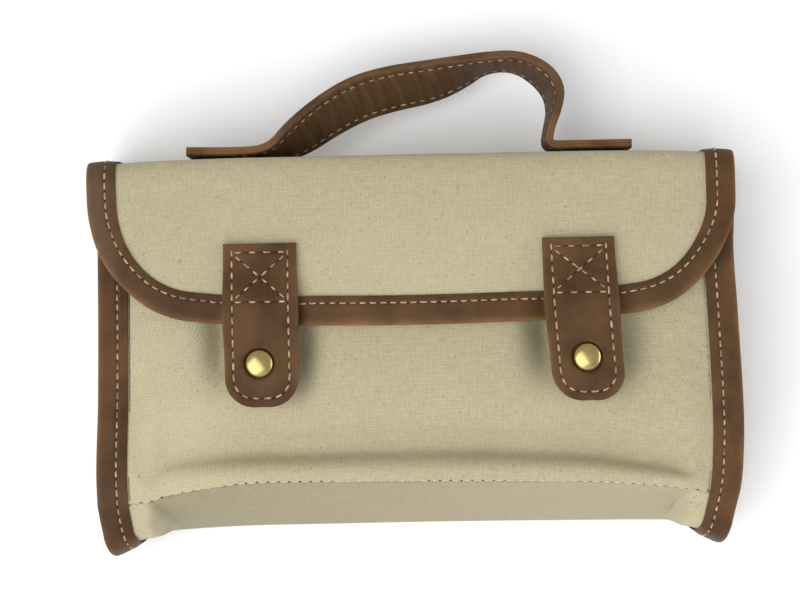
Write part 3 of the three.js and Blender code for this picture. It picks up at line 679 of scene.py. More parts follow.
# %% Frames along a side seam
def seam_frames(origin, tangent, side):
    """Corner of the seam with its directions out and up."""
    normal = np.stack([np.zeros_like(tangent[0]), tangent[2], -tangent[1]])
    normal /= np.linalg.norm(normal, axis=0)
    flare = FLARE * np.maximum(0, -normal[1]) ** 2
    across = np.array([[side], [0], [0]])
    out = across * np.cos(flare) + normal * np.sin(flare)
    face = normal * np.cos(flare) - across * np.sin(flare)
    return np.stack([origin - LAYER * normal, out, face])


def seam_of(surface, side, t):
    """Frames where a panel meets its side seam."""
    x = np.full_like(t, side * SEAM_X)
    tangent = surface(x, t + NUDGE) - surface(x, t - NUDGE)
    return seam_frames(surface(x, t), tangent, side)


def lay_off(frames, u, v):
    """Points at distances out and up from frames, as (axis, frame, point)."""
    origin, out, face = frames[..., None]
    return origin + out * np.asarray(u, float) + face * np.asarray(v, float)


# %% The whole of a side seam
FRONT_ROWS = 150
BASE_ROWS = 70


def base_spans(count):
    """Spans where the base has its full width."""
    return np.linspace(SHOULDER, BASE_SPANS - SHOULDER, count)


def side_seam(side):
    """Frames down the front, round the base and up the back, with the gusset's crease for each."""
    front = seam_of(front_at, side, np.linspace(0, FRONT_SPANS, FRONT_ROWS))
    base = seam_of(base_at, side, np.append(base_spans(BASE_ROWS), BASE_SPANS))
    height = front[0, 1][front[0, 1] > GUSSET_FAN[0] - GAP][::-1]
    origin = np.stack([np.full_like(height, side * SEAM_X), height, np.full_like(height, BACK_EDGE_Z)])
    up = np.repeat([[0.0], [1.0], [0.0]], len(height), axis=1)
    back = seam_frames(origin, up, side)
    frames = np.concatenate([front, base, back], axis=2)
    crease = np.concatenate([front[0, 1], np.full(base.shape[2], -np.inf), height])
    return frames, np.maximum(crease, GUSSET_FAN[0])


seams = {name: side_seam(side) for name, side in SIDES.items()}
print("frames along a side seam:", seams["left"][0].shape[2])

# %% [markdown]
# ## The front panel
# The front carries the sag above its valley, a ledge below it, and small pulls towards the snaps
# and the side seams. Those pulls could be sculpted by hand. We add them as waves in the surface,
# strongest near what pulls on them, because a wave has a size that can be measured and changed.

# %% Grids of a panel
COLUMNS = 190
ALLOWANCE_COLUMNS = 4
CLOTH_ROUNDING = 0.5


def panel_places():
    """Columns of a panel: places across it, and its seam allowance at either side."""
    inside = SEAM_X * np.sin(np.linspace(-1, 1, COLUMNS) * np.pi / 2)
    return inside, np.linspace(CLOTH_REACH, 0, ALLOWANCE_COLUMNS + 1)[:-1]


def panel_grid(surface, t):
    """Grid of a panel between its side seams, with the allowances."""
    inside, allowance = panel_places()
    middle = surface(inside[None, :], t[:, None])
    left = lay_off(seam_of(surface, -1, t), allowance, LAYER)
    right = lay_off(seam_of(surface, 1, t), allowance[::-1], LAYER)
    return np.concatenate([left, middle, right], axis=2)


def inset_grid(surface, t, depth):
    """Grid of cloth that passes between the side seams, behind a surface."""
    inside, allowance = panel_places()
    ends = np.full(len(allowance), SEAM_X)
    x = np.concatenate([-ends, inside, ends])
    x, t = np.broadcast_arrays(x[None, :], t[:, None])
    return surface(x, t) - depth * outward(surface, x, t)


# %% Front panel
PUCKER = 0.22  # height of the puckers along the side seams
PUCKER_REACH = 9
PUCKER_PITCH = 7.5
PUCKER_SLANT = 0.3
SNAP_PULL = 0.35  # height of the folds that run out from a snap
SNAP_PULL_REACH = 26
SNAP_PULL_COUNT = 5
SNAP_PULL_TURN = 0.6
SINKS = (  # hollows where the cloth gives way beside the tabs: tab, side, level, depth and width
    ("left", -1, -12, 8.5, 6.5), ("left", 1, -19, 9.5, 6.5),
    ("right", -1, -12, 11, 7.5), ("right", 1, -19, 6.5, 9),
)
SINK_LENGTH = 16
SINK_ASIDE = 1  # from the tab's edge
FRONT_WAVES = ((0.30, 1.6, 60, 3), (0.10, 1.4, 22, 4))
FRONT_EASE = 6  # all folds fade this near to a seam
FRONT_HEM_Y = -74
FRONT_LEFT_LIGHT = 0.32  # painted light: the left of the front is drawn paler, as lit from the left
FRONT_LEFT_LIGHT_X = (-60, -90)


def front_pulls(x, y):
    """Height of the small folds in the front."""
    near_seam = np.exp(-(SEAM_X - np.abs(x)).clip(0) / PUCKER_REACH)
    pulls = PUCKER * near_seam * np.sin(2 * np.pi * (y + PUCKER_SLANT * np.abs(x)) / PUCKER_PITCH)
    for tab in TABS.values():
        reach = np.hypot(x - tab["x"], y - SNAP_Y)
        angle = np.arctan2(y - SNAP_Y, x - tab["x"])
        drawn = np.sin(SNAP_PULL_COUNT * angle + SNAP_PULL_TURN)
        pulls += SNAP_PULL * np.exp(-(reach / SNAP_PULL_REACH) ** 2) * drawn
    for name, side, level, depth, width in SINKS:
        aside = x - TABS[name]["x"] - side * (TABS[name]["half_width"] + SINK_ASIDE)
        pulls -= depth * np.exp(-(aside / width) ** 2 - ((y - level) / SINK_LENGTH) ** 2)
    pulls += waves(x, y, FRONT_WAVES)
    free = ramp(np.abs(x), SEAM_X, SEAM_X - FRONT_EASE) * ramp(y, FRONT_HEM_Y, FRONT_HEM_Y + FRONT_EASE)
    return pulls * free


grid = panel_grid(front_at, np.linspace(0, FRONT_SPANS, FRONT_ROWS))
grid[2] += front_pulls(grid[0], grid[1])
# Painted light: the left of the front is drawn paler.
wear_and_light_values = {"wear_and_light": FRONT_LEFT_LIGHT * ramp(grid[0], *FRONT_LEFT_LIGHT_X)}
front_cloth = shell("front_cloth", grid, CANVAS, CLOTH_ROUNDING, canvas, values=wear_and_light_values)
settle(front_cloth, "canvas", "front_panel")

# %% [markdown]
# ## The base panel
# The base is the wall that the pouch stands on when it is set upright. It starts as a tongue under
# the front, widens to the seams and ends inside the back. Its right corner is dented, and both
# lower corners are drawn paler, as painted light on facets that face up. We join the rows of the
# three surfaces that it follows, and then move them for the dent and the waves.

# %% Base panel
TUCK = CANVAS + 2 * GAP  # how far the laps lie behind the panels that cover them
FRONT_LAP_ROWS = 12
BACK_LAP_ROWS = 10
DENT = 3.2  # the wall gives way beside its right corner
DENT_X = 105.5
DENT_Y = -87
DENT_WIDTH = 3.0
DENT_HEIGHT = 4.0
DENT_END = -92.5
DENT_FLOOR = 12
BASE_WAVES = ((0.5, 1.4, 48, 9),)
BASE_EASE = 12  # the waves fade this near to a side seam
OFF_FLOOR = (4, 14)  # heights between which the wall comes free of the floor
UNDER_HEM = (46, 38)  # heights between which it comes free of the hem


def base_grid():
    """Rows of the base, from its lap under the front to its lap inside the back."""
    front_hem = front_at(0.0, FRONT_SPANS)[1]
    front_lap = float(span_at(front_at, 0.0, front_hem + LAP, FRONT_SPANS - 2, FRONT_SPANS))
    back_lap = float(span_at(cover_at, 0.0, cover_at(0.0, 0.0)[1] + LAP, 0, 1))
    return np.concatenate([
        inset_grid(front_at, np.linspace(front_lap, FRONT_SPANS, FRONT_LAP_ROWS), TUCK),
        inset_grid(base_at, np.array([SHOULDER / 2]), 0),
        panel_grid(base_at, base_spans(BASE_ROWS)),
        inset_grid(base_at, np.array([BASE_SPANS - SHOULDER / 2]), 0),
        inset_grid(cover_at, np.linspace(0, back_lap, BACK_LAP_ROWS), TUCK),
    ], axis=1)


def base_folds(x, y, z):
    """How far the wall gives way: a dent by its right corner, and soft waves."""
    near = np.exp(-((x - DENT_X) / DENT_WIDTH) ** 2 - ((y - DENT_Y) / DENT_HEIGHT) ** 2)
    dent = DENT * near * ramp(y, DENT_END, DENT_END + DENT_HEIGHT) * (z > DENT_FLOOR)
    free = ramp(np.abs(x), SEAM_X, SEAM_X - BASE_EASE) * ramp(z, *OFF_FLOOR) * ramp(z, *UNDER_HEM)
    return dent + free * waves(x, z, BASE_WAVES)


# %% Paleness of the base, with painted light on its corners
RIGHTWARD_PALENESS = 0.4  # the wall is paler towards the right
RIGHTWARD_PALENESS_X = (-80, 90)
# painted light: the corner facets face up and are drawn paler, as lit
CORNER_LIGHT = 0.85
CORNER_X = (105, 108.5)  # the corners turn pale from the first to the second
CORNER_Y = -77
CORNER_SLANT = 0.55
CORNER_Z = (4, 36)


def base_paleness(x, y, z):
    """How pale the wall is drawn: paler towards the right, with painted light on its corner facets."""
    aside = np.abs(x) - CORNER_SLANT * (y - CORNER_Y)
    paleness = RIGHTWARD_PALENESS * ramp(x, *RIGHTWARD_PALENESS_X)
    return paleness + (CORNER_LIGHT - paleness) * ramp(aside, *CORNER_X) * ramp(z, *CORNER_Z)


grid = base_grid()
grid[1] += base_folds(*grid)
# Painted light on the base's corners, and paler towards the right.
wear_and_light_values = {"wear_and_light": base_paleness(*grid)}
base_cloth = shell("base_cloth", grid, CANVAS, CLOTH_ROUNDING, base_canvas, values=wear_and_light_values)
settle(base_cloth, "base_canvas", "base_panel")

# %% [markdown]
# ## Back, top and flap
# One cloth makes the back, folds over the top and hangs down as the flap. Its lower corners are
# round, so the last rows of its grid get shorter along a quarter circle. That keeps one even
# grid with no cut, which a boolean cut of the corners would not.

# %% Back, top and flap in one cloth
FLAP_CORNER = 7.4  # span where the round corners start
CORNER_ROWS = 26
BACK_ROWS = 39
FLAP_ROWS = 130
FLAP_WAVES = ((0.28, 1.5, 55, 7),)
ON_FLAP = (50, 56)  # heights over which the waves come in
FLAP_EASE = (106, 92)  # and the distances from the middle over which they fade
FLAP_LIGHT = 0.24  # painted light: the flap is drawn paler towards its hem, most in the middle, as lit there
FLAP_LIGHT_LOSS = 0.12
FLAP_LIGHT_Y = (52, 12)
FLAP_LIGHT_FLOOR = 30  # the back below this height is not painted lighter


def flap_corner_rows(inset, angles):
    """Half width and distance above the hem at places round the flap's lower corners."""
    radius = FLAP_RADIUS - inset
    return FLAP_CENTRE_X + radius * np.sin(angles), FLAP_RADIUS - radius * np.cos(angles)


def cover_grid():
    """Rows of the cover, from the base up the back, over the top and round the flap's corners."""
    across = np.sin(np.linspace(-1, 1, COLUMNS) * np.pi / 2)
    back = np.linspace(0, BINDING_END, BACK_ROWS + 1)[:-1]
    over = np.concatenate([back, np.linspace(BINDING_END, FLAP_CORNER, FLAP_ROWS)])
    straight = cover_at((HALF_WIDTH - FLAP_INSET) * across[None, :], over[:, None])
    reach, distance = flap_corner_rows(FLAP_INSET, np.linspace(np.pi / 2, 0, CORNER_ROWS)[1:])
    rounded = flap_at(reach[:, None] * across[None, :], distance[:, None], 0.0)
    return np.concatenate([straight, rounded], axis=1)


grid = cover_grid()
free = ramp(grid[2], *ON_FLAP) * ramp(np.abs(grid[0]), *FLAP_EASE)
grid[2] += free * waves(grid[0], grid[1], FLAP_WAVES)
# Painted light on the flap, paler towards its hem.
lit_flap = (FLAP_LIGHT - FLAP_LIGHT_LOSS * (grid[0] / SEAM_X) ** 2) * ramp(grid[1], *FLAP_LIGHT_Y)
wear_and_light_values = {"wear_and_light": lit_flap * (grid[2] > FLAP_LIGHT_FLOOR)}
cover_cloth = shell("back_and_flap_cloth", grid, CANVAS, CLOTH_ROUNDING, canvas, values=wear_and_light_values)
settle(cover_cloth, "canvas", "back_flap_panel")

# %% [markdown]
# ## The gussets
# A gusset is the side wall that lets a bag open. Here it folds inwards to a crease, and below
# the crease it fans out to the base. Each row of the grid runs from its seam frame to the crease.

# %% Gussets
GUSSET_ALLOWANCE = 6
WALL_COLUMNS = 14
GUSSET_WAVES = ((0.6, 1.4, 42, 13),)
GUSSET_LOW = (6, 16)  # heights over which the waves come in
GUSSET_HIGH = (46, 36)  # and over which they fade


def gusset(name, side):
    """Side wall that folds inwards to a crease."""
    frames, crease = seams[name]
    allowance = lay_off(frames, np.linspace(CLOTH_REACH, 0, GUSSET_ALLOWANCE), -LAYER)
    edge = lay_off(frames, [-LEG_START], [-SIDE_DEPTH])
    wall = np.full_like(crease, side * (SEAM_X - GUSSET_SAG))
    line = np.stack([wall, crease, np.full_like(crease, GUSSET_FAN[1])])[..., None]
    part = np.linspace(0, 1, WALL_COLUMNS)
    grid = np.concatenate([allowance, edge * (1 - part) + line * part], axis=2)
    free = ramp(grid[2], *GUSSET_LOW) * ramp(grid[2], *GUSSET_HIGH)
    grid[0] += free * waves(grid[1], grid[2], GUSSET_WAVES)
    cloth = shell(f"gusset_cloth_{name}", grid, CANVAS, CLOTH_ROUNDING, canvas, fold=(1, 0, 0), lay=grid[1:])
    settle(cloth, "canvas", f"side_panel_{name}")


for name, side in SIDES.items():
    gusset(name, side)

# %% [markdown]
# ## The leather edging
# A strip of leather is folded over each edge and sewn through. Its section is a U with a round
# fold, soft cut edges, and a shallow furrow where the stitches pull the leather down. A bevelled
# curve could give the strip, but a loft lets the fold and the cut edge carry their own paleness:
# wear at the cut edge, and wear with a painted highlight at the fold.

# %% Folded section
FOLD_BEND = 1.7
FOLD_POWER = 0.7  # below 1 it makes the fold squarer than a circle
FURROW = 0.35
FURROW_WIDTH = 0.6
STITCH_INSET = 4.2  # from the strip's inner edge to its stitches
CUT_SOFTNESS = 0.35
CUT_BEVEL = 0.2
SKIVE = 0.5  # the leather is pared thinner towards its cut edge
SWELL = 0.12
# the fold is drawn paler: wear, and a painted highlight where light catches it
FOLD_WEAR_AND_HIGHLIGHT, FOLD_WEAR_AND_HIGHLIGHT_WIDTH = 0.9, 0.9
CUT_WEAR, CUT_WEAR_WIDTH = 0.1, 0.5


def folded_section(start, reach, slot, depth):
    """Outline of folded leather as distance out and height, with its wear and painted highlight."""
    turn = np.linspace(np.pi / 2, 0, 10)
    bend = reach - FOLD_BEND * (1 - np.cos(turn) ** FOLD_POWER)
    fold = np.stack([bend, depth * np.sin(turn) ** FOLD_POWER])
    leg = np.linspace(start + CUT_SOFTNESS, reach - FOLD_BEND, 36)[:-1]
    furrow = FURROW * np.exp(-((leg - start - STITCH_INSET) / FURROW_WIDTH) ** 2)
    swell = SWELL * np.sin(np.pi * (leg - start) / (reach - start))
    pared = SKIVE * ramp(leg, start + STITCH_INSET, start)
    top = np.stack([leg, depth - furrow + swell - pared])
    lip = depth - SKIVE
    cut = np.array([
        (start + CUT_BEVEL, slot), (start, slot + 0.75 * CUT_BEVEL),
        (start, lip - CUT_BEVEL), (start + CUT_BEVEL / 2, lip - CUT_BEVEL / 2),
    ]).T
    inner = np.array([[reach - LEATHER], [slot]])
    upper = np.concatenate([inner, cut, top, fold], axis=1)
    lower = upper[:, -2::-1] * [[1], [-1]]
    section = np.concatenate([upper, lower], axis=1)
    # Wear with a painted highlight along the fold, and wear at the cut edge.
    wear_and_light = FOLD_WEAR_AND_HIGHLIGHT * np.exp(-np.abs(reach - section[0]) / FOLD_WEAR_AND_HIGHLIGHT_WIDTH)
    wear_and_light += CUT_WEAR * np.exp(-np.abs(section[0] - start) / CUT_WEAR_WIDTH)
    return section, wear_and_light


# %% Edging of the side seams
EDGE_WEAR_AND_LIGHT = 0.75  # the paleness, wear and painted highlight alike, comes and goes along an edge
EDGE_WAVES = ((0.25, 1, 18, 11),)


def edging(name, rings, wear_and_light, node, sheen_and_shade=0.0):
    """Leather strip through rings of its section."""
    wear_and_light_scale = EDGE_WEAR_AND_LIGHT + waves(rings[0], rings[1], EDGE_WAVES)
    values = {"wear_and_light": np.clip(wear_and_light * wear_and_light_scale, 0, 1), "sheen_and_shade": np.broadcast_to(sheen_and_shade, wear_and_light_scale.shape)}
    strip = loft(name, rings, leather, values)
    settle(strip, "leather", node)


section, wear_and_light = folded_section(LEG_START, SIDE_REACH, SIDE_SLOT, SIDE_DEPTH)
for name in SIDES:
    edging(f"side_edging_{name}", lay_off(seams[name][0], *section), wear_and_light, f"side_binding_{name}")

# %% [markdown]
# ## The edging of the flap
# The same section runs down the sides of the flap, round its corners and along its hem. Along the
# hem the sewer has kept nearer to the cut edge. The strip is painted with a grey sheen at its left
# end, and with painted shade beside the outer side of each tab, darker still towards both corners.
# One function gives points anywhere on the strip, so that the stitches can follow it later.

# %% Edging of the flap
EDGING_START = 1.92  # span just past the end of the side edging
SIDE_STATIONS = 130
CORNER_STATIONS = 46
HEM_STATIONS = 130
FURROW_SHIFT = 1.5  # along the hem the stitches run this much nearer to the cut edge
# Grey painted sheen above zero and painted shade below it, at places across the flap.
SHEEN_AND_SHADE_PLACES = (-124, -114, -100, -72, -55, 60, 80, 106, 116)  # across the flap
SHEEN_AND_SHADE = (0.34, 0, -0.3, -0.26, 0, 0, -0.2, -0.34, 0)


def flap_edge(inset, lift):
    """Points round the flap, inside its outline and off its cloth, as (axis, station, point)."""
    inset, lift = np.asarray(inset, float)[None, :], np.asarray(lift, float)[None, :]
    over = np.linspace(EDGING_START, FLAP_CORNER, SIDE_STATIONS)[:, None]
    angles = np.linspace(np.pi / 2, 0, CORNER_STATIONS)[1:, None]
    drawn = FURROW_SHIFT * np.sin(np.pi * inset / FLAP_WIDTH)
    halves = []
    for side in SIDES.values():
        x = side * (HALF_WIDTH - inset)
        edge = cover_at(x, over) + lift * outward(cover_at, *np.broadcast_arrays(x, over))
        reach, distance = flap_corner_rows(inset + drawn * np.cos(angles), angles)
        halves.append(np.concatenate([edge, flap_at(side * reach, distance, lift)], axis=1))
    x = np.linspace(-FLAP_CENTRE_X, FLAP_CENTRE_X, HEM_STATIONS)[1:-1, None]
    hem = flap_at(x, inset + drawn, lift)
    return np.concatenate([halves[0], hem, halves[1][:, ::-1]], axis=1)


section, wear_and_light = folded_section(0, FLAP_WIDTH, FLAP_SLOT, FLAP_DEPTH)
rings = flap_edge(FLAP_WIDTH - section[0], section[1])
edging("flap_edging", rings, wear_and_light, "flap_binding", np.interp(rings[0], SHEEN_AND_SHADE_PLACES, SHEEN_AND_SHADE))

# %% [markdown]
# ## The closure tabs
# A tab is thick leather with soft cut edges, sewn to the flap in a box with a cross. It rises over
# the flap's edge and drops to its snap, which presses it flat. It is a shell like the cloth, with a
# furrow under every line of stitches, so the lines are worked out first.

# %% Lie of a tab
TAB_PROFILE = (  # level above the snap, and height
    (46.4, 61), (38, 61.3), (28, 64), (18, 65),
    (8.4, 63.7), (0, 63.7), (-8.4, 63.7), (-16.8, 62.6),
)
TAB_TOP = TAB_PROFILE[0][0]
TAB_END = TAB_PROFILE[-1][0]
TAB_SPANS = len(TAB_PROFILE) - 2
TAB_FOLD = 20  # above the snap, where the tab bends over the flap's edge
TAB_SPREAD = 0.6  # how far the bend widens it
TAB_SPREAD_LENGTH = 11
SNAP_SEAT = 5.9  # radius that the snap presses flat
DIMPLE = 1.3  # how deep it is pressed
DIMPLE_EASE = 0.5
TAB_WAVES = ((0.25, 1, 30, 21),)
TAB_LOOSE = 20  # the waves grow over this distance from the top


def tab_half_width(full, y):
    """Half width of a tab, which spreads over the flap's edge and narrows round its lower corners."""
    short = np.maximum(0, TAB_RADIUS - (y - TAB_END))
    spread = TAB_SPREAD * np.exp(-((y - TAB_FOLD) / TAB_SPREAD_LENGTH) ** 2)
    return full + spread - TAB_RADIUS + np.sqrt(np.maximum(0, TAB_RADIUS ** 2 - short ** 2))


def tab_height(y):
    """Height of the tab's middle layer."""
    t = np.linspace(0, TAB_SPANS, 400)
    along, height = path_at(TAB_PROFILE, t)
    return np.interp(y, along[::-1], height[::-1])


def put_tab(tab, x, y, z):
    """Points about the snap, moved to where the tab lies."""
    lean = y * tab["lean"] - tab["bend"] * np.maximum(0, y - TAB_FOLD)
    return np.stack([tab["x"] + tab["shift"] + x - lean, SNAP_Y + y, z])


def dimple(tab, x, y):
    """Depth to which the snap has pressed the leather."""
    beyond = np.maximum(0, np.hypot(x + tab["shift"], y) - SNAP_SEAT)
    return DIMPLE * np.exp(-(beyond / DIMPLE_EASE) ** 2)


def tab_waves(x, y):
    """Soft waves in the loose end of a tab."""
    return waves(x, y, TAB_WAVES) * ramp(y, TAB_TOP, TAB_TOP - TAB_LOOSE)


print("height of a tab at its snap:", round(float(tab_height(0.0)), 1), "mm")

# %% Lines of stitches on a tab
TAB_BORDER = 3.4  # from the tab's edge to its stitches
SEAM_START = 2.2  # the inner lines of the box stop this short of its corners


def tab_seams(tab):
    """Lines of stitches on a tab, about its snap."""
    side = tab["half_width"] - TAB_BORDER
    top, foot = TAB_TOP - TAB_BORDER, TAB_TOP - TAB_BORDER - tab["box"]
    bend = TAB_RADIUS - TAB_BORDER
    turn = np.linspace(0, np.pi / 2, 14)
    curve = np.stack([side - bend + bend * np.cos(turn), TAB_END + TAB_RADIUS - bend * np.sin(turn)])
    right = np.concatenate([[[side], [top]], curve], axis=1)
    left = right[:, ::-1] * [[-1], [1]]
    near = side - SEAM_START
    lines = [np.concatenate([right, left], axis=1)]
    for (ax, ay), (bx, by) in (
        ((near, top), (-near, top)), ((near, foot), (-near, foot)),
        ((near, top - SEAM_START), (-near, foot + SEAM_START)),
        ((-near, top - SEAM_START), (near, foot + SEAM_START)),
    ):
        lines.append(np.array([[ax, bx], [ay, by]]))
    return lines


def furrows(x, y, lines):
    """Depth of the furrows that the stitches pull into the leather."""
    nearest = np.full(x.shape, np.inf)
    for line in lines:
        for (ax, ay), (bx, by) in zip(line.T[:-1], line.T[1:]):
            long = (bx - ax) ** 2 + (by - ay) ** 2
            s = np.clip(((x - ax) * (bx - ax) + (y - ay) * (by - ay)) / long, 0, 1)
            nearest = np.minimum(nearest, np.hypot(x - ax - s * (bx - ax), y - ay - s * (by - ay)))
    return FURROW * np.exp(-(nearest / FURROW_WIDTH) ** 2)


# %% Closure tabs
TAB_ROWS = 119
TAB_CORNER_ROWS = 30
TAB_COLUMNS = 84
CROWDING = 0.9 * np.pi / 2  # crowds the columns towards the edges
TAB_SOFTNESS = 0.7
TAB_WEAR, TAB_WEAR_WIDTH = 0.35, 0.6


def closure_tab(name):
    """Leather tab from its sewn box to its rounded end."""
    tab = TABS[name]
    rounding = TAB_END + TAB_RADIUS * (1 - np.sin(np.linspace(0, 1, TAB_CORNER_ROWS) * np.pi / 2))
    y = np.append(np.linspace(TAB_TOP, TAB_END + TAB_RADIUS, TAB_ROWS + 1)[:-1], rounding)
    s = np.sin(np.linspace(-1, 1, TAB_COLUMNS) * CROWDING) / math.sin(CROWDING)
    x = s[None, :] * tab_half_width(tab["half_width"], y)[:, None]
    y = np.repeat(y[:, None], len(s), axis=1)
    pressed = dimple(tab, x, y)
    z = tab_height(y) + tab_waves(x, y) - furrows(x, y, tab_seams(tab)) - pressed / 2
    grid = put_tab(tab, x, y, z)
    u, v = arcs(grid)
    edge = np.minimum.reduce([u, u[:, -1:] - u, v, v[-1] - v])
    wear_and_light_values = {"wear_and_light": TAB_WEAR * np.exp(-edge / TAB_WEAR_WIDTH)}
    thickness = TAB_THICKNESS - pressed
    piece = shell(f"leather_tab_{name}", grid, thickness, TAB_SOFTNESS, leather, values=wear_and_light_values)
    settle(piece, "leather", f"closure_tab_{name}")


for name in TABS:
    closure_tab(name)

# %% [markdown]
# ## The carrying strap
# The strap is two layers of leather glued and sewn together. It has fallen sideways and twists on
# its way, which shows its rough inner face. A curve with a tilt could give it, but a section that
# is turned at each station also carries the furrows, the glue line and the wear.

# %% Carrying strap
STRAP = (  # x, y and z of the middle, and the twist in degrees
    (-90.3, 60.9, 27, 0), (-68.9, 60.2, 27, 0), (-56.6, 60.0, 27, 9), (-46.2, 66.4, 26, 32),
    (-34.6, 74.9, 24.5, 38), (-22.4, 81.8, 23, 42), (-9.1, 85.7, 22, 41), (7.2, 88.3, 21, 37),
    (19.2, 91.7, 20.3, 25), (30.1, 95.8, 20, 8), (42.6, 96.3, 20, 8), (52.4, 91.0, 21, 14),
    (57.6, 84.0, 22, 13), (57.6, 75.7, 24, 4), (54.9, 67.7, 26, 0), (53.7, 60.5, 27, 0),
    (62.1, 60.5, 27, 0), (87.1, 60.5, 27, 0),
)
STRAP_SPANS = len(STRAP) - 2
STRAP_STATIONS = 280
STRAP_BORDER = 3.3  # from the strap's edge to its stitches
STRAP_SOFTNESS = 1.1
GLUE_LINE = 0.3  # part of the rounding lost where the two layers of the strap meet
GLUE_WIDTH = 0.15
STRAP_WEAR_WIDTH = 1.3
STRAP_RUB_PLACES = (0.1, 0.2, 0.8, 0.88)  # parts of its length, from foot to foot
STRAP_RUB = (0.9, 0.3, 0.3, 0.9)  # how far its edges have rubbed pale there
FLESH = 0.8  # how plainly the flesh side shows
FLESH_START = (0.55, 0.8)  # parts of the half thickness over which it starts


def strap_at(across, through):
    """Points of the strap, across its width and through its thickness, as (axis, station, point)."""
    t = np.linspace(0, STRAP_SPANS, STRAP_STATIONS)
    x, y, z, twist = path_at(STRAP, t)
    ahead = path_at(STRAP, t + NUDGE) - path_at(STRAP, t - NUDGE)
    out = np.stack([-ahead[1], ahead[0], np.zeros_like(t)])
    out /= np.linalg.norm(out, axis=0)
    up = np.array([[0.0], [0.0], [1.0]])
    turn = np.radians(twist)
    wide = up * np.cos(turn) + out * np.sin(turn)
    thick = out * np.cos(turn) - up * np.sin(turn)
    centre = np.stack([x, y, z])[..., None]
    return centre + wide[..., None] * np.asarray(across) + thick[..., None] * np.asarray(through)


def strap_section():
    """Outline of the strap with soft edges and stitch furrows, and its wear and flesh side."""
    inside = STRAP_HALF_WIDTH - STRAP_SOFTNESS
    flat = np.linspace(inside, -inside, 40)
    dip = FURROW * np.exp(-((STRAP_HALF_WIDTH - STRAP_BORDER - np.abs(flat)) / FURROW_WIDTH) ** 2)
    turn = np.linspace(np.pi / 2, -np.pi / 2, 17)[1:-1]
    glued = 1 - GLUE_LINE * np.exp(-(np.sin(turn) / GLUE_WIDTH) ** 2)
    edge = np.stack([-inside - STRAP_SOFTNESS * np.cos(turn) * glued, STRAP_HALF_THICKNESS * np.sin(turn)])
    outer = np.stack([flat, STRAP_HALF_THICKNESS - dip])
    section = np.concatenate([outer, edge, -outer, -edge], axis=1)
    wear_and_light = np.exp(-(STRAP_HALF_WIDTH - np.abs(section[0])) / STRAP_WEAR_WIDTH)
    flesh = FLESH * ramp(-section[1] / STRAP_HALF_THICKNESS, *FLESH_START)
    return section, wear_and_light, flesh


section, wear_and_light, flesh = strap_section()
rings = strap_at(*section)
wear_and_light_scale = np.interp(np.linspace(0, 1, STRAP_STATIONS), STRAP_RUB_PLACES, STRAP_RUB)
values = {"wear_and_light": wear_and_light_scale[:, None] * wear_and_light, "flesh": np.tile(flesh, (STRAP_STATIONS, 1))}
strap = loft("leather_strap", rings, leather, values)
settle(strap, "leather", "handle_strap")

# %% [markdown]
# ## The snaps
# A snap is two brass parts. The cap sits on the tab, with a socket below the leather, and the
# socket grips a stud that is riveted through the front. Both are turned shapes, so each is a
# profile of radius and height carried once round the snap's axis, hollow where the stud goes in.

# %% Turned brass
LATHE_SIDES = 64
SHARP = math.radians(40)


def turned(name, profile, tab, node):
    """Brass part turned about a snap's axis, from a profile of (radius, height)."""
    radius, height = np.array(profile, float).T
    angle = np.linspace(0, 2 * np.pi, LATHE_SIDES, endpoint=False)
    x = tab["x"] + radius[:, None] * np.cos(angle)
    y = SNAP_Y + radius[:, None] * np.sin(angle)
    rings = np.stack([x, y, np.repeat(height[:, None], LATHE_SIDES, axis=1)])
    piece = loft(name, rings, brass, {})
    piece.data.set_sharp_from_angle(angle=SHARP)
    settle(piece, "brass", node)


# %% Brass snaps
CAP = {
    "radius": 5.4, "height": 2.6, "rim": 0.5, "undercut": 0.2, "post": 2.2,
    "socket": 4.6, "bore": 2.9, "depth": 2.2, "roof": 0.4,
}
STUD = {
    "flange": 4.4, "knob": 2.6, "neck": 2.0, "rivet": 1.5, "plate": 0.8,
    "height": 2.2, "bevel": 0.66, "seat": 0.5,
}
DOME_START = 0.02  # radians from the axis, where the lathe leaves a tiny flat


def snap_cap(name, tab):
    """Domed cap, with its post through the tab and its socket below."""
    middle = float(tab_height(0.0))
    above = middle + TAB_THICKNESS / 2 + GAP - DIMPLE
    below = middle - TAB_THICKNESS / 2 - GAP
    dome = []
    for angle in np.linspace(DOME_START, np.pi / 2, 24):
        rise = CAP["rim"] + (CAP["height"] - CAP["rim"]) * math.cos(angle)
        dome.append((CAP["radius"] * math.sin(angle), above + rise))
    foot = below - CAP["depth"]
    roof = below - CAP["roof"]
    turned(f"brass_cap_{name}", [
        *dome, (CAP["radius"] - CAP["undercut"], above), (CAP["post"], above), (CAP["post"], below),
        (CAP["socket"], below), (CAP["socket"], foot), (CAP["bore"], foot),
        (CAP["bore"], roof), (NUDGE, roof),
    ], tab, f"snap_cap_{name}")


def snap_stud(name, tab):
    """Stud with its knob in the socket and its rivet through the front."""
    cloth = front_at(tab["x"], span_at(front_at, tab["x"], SNAP_Y, 0, FRONT_SPANS - 1))[2]
    over, under = cloth + CANVAS / 2 + STUD["seat"], cloth - CANVAS / 2 - STUD["seat"]
    collar = over + STUD["plate"]
    top = collar + STUD["height"]
    turned(f"brass_stud_{name}", [
        (NUDGE, top), (STUD["neck"], top), (STUD["knob"], top - STUD["bevel"]),
        (STUD["neck"], collar + STUD["bevel"]), (STUD["neck"], collar), (STUD["flange"], collar),
        (STUD["flange"], over), (STUD["rivet"], over), (STUD["rivet"], under), (STUD["flange"], under),
        (STUD["flange"], under - STUD["plate"]), (NUDGE, under - STUD["plate"]),
    ], tab, f"snap_stud_{name}")


for name, tab in TABS.items():
    snap_cap(name, tab)
    snap_stud(name, tab)

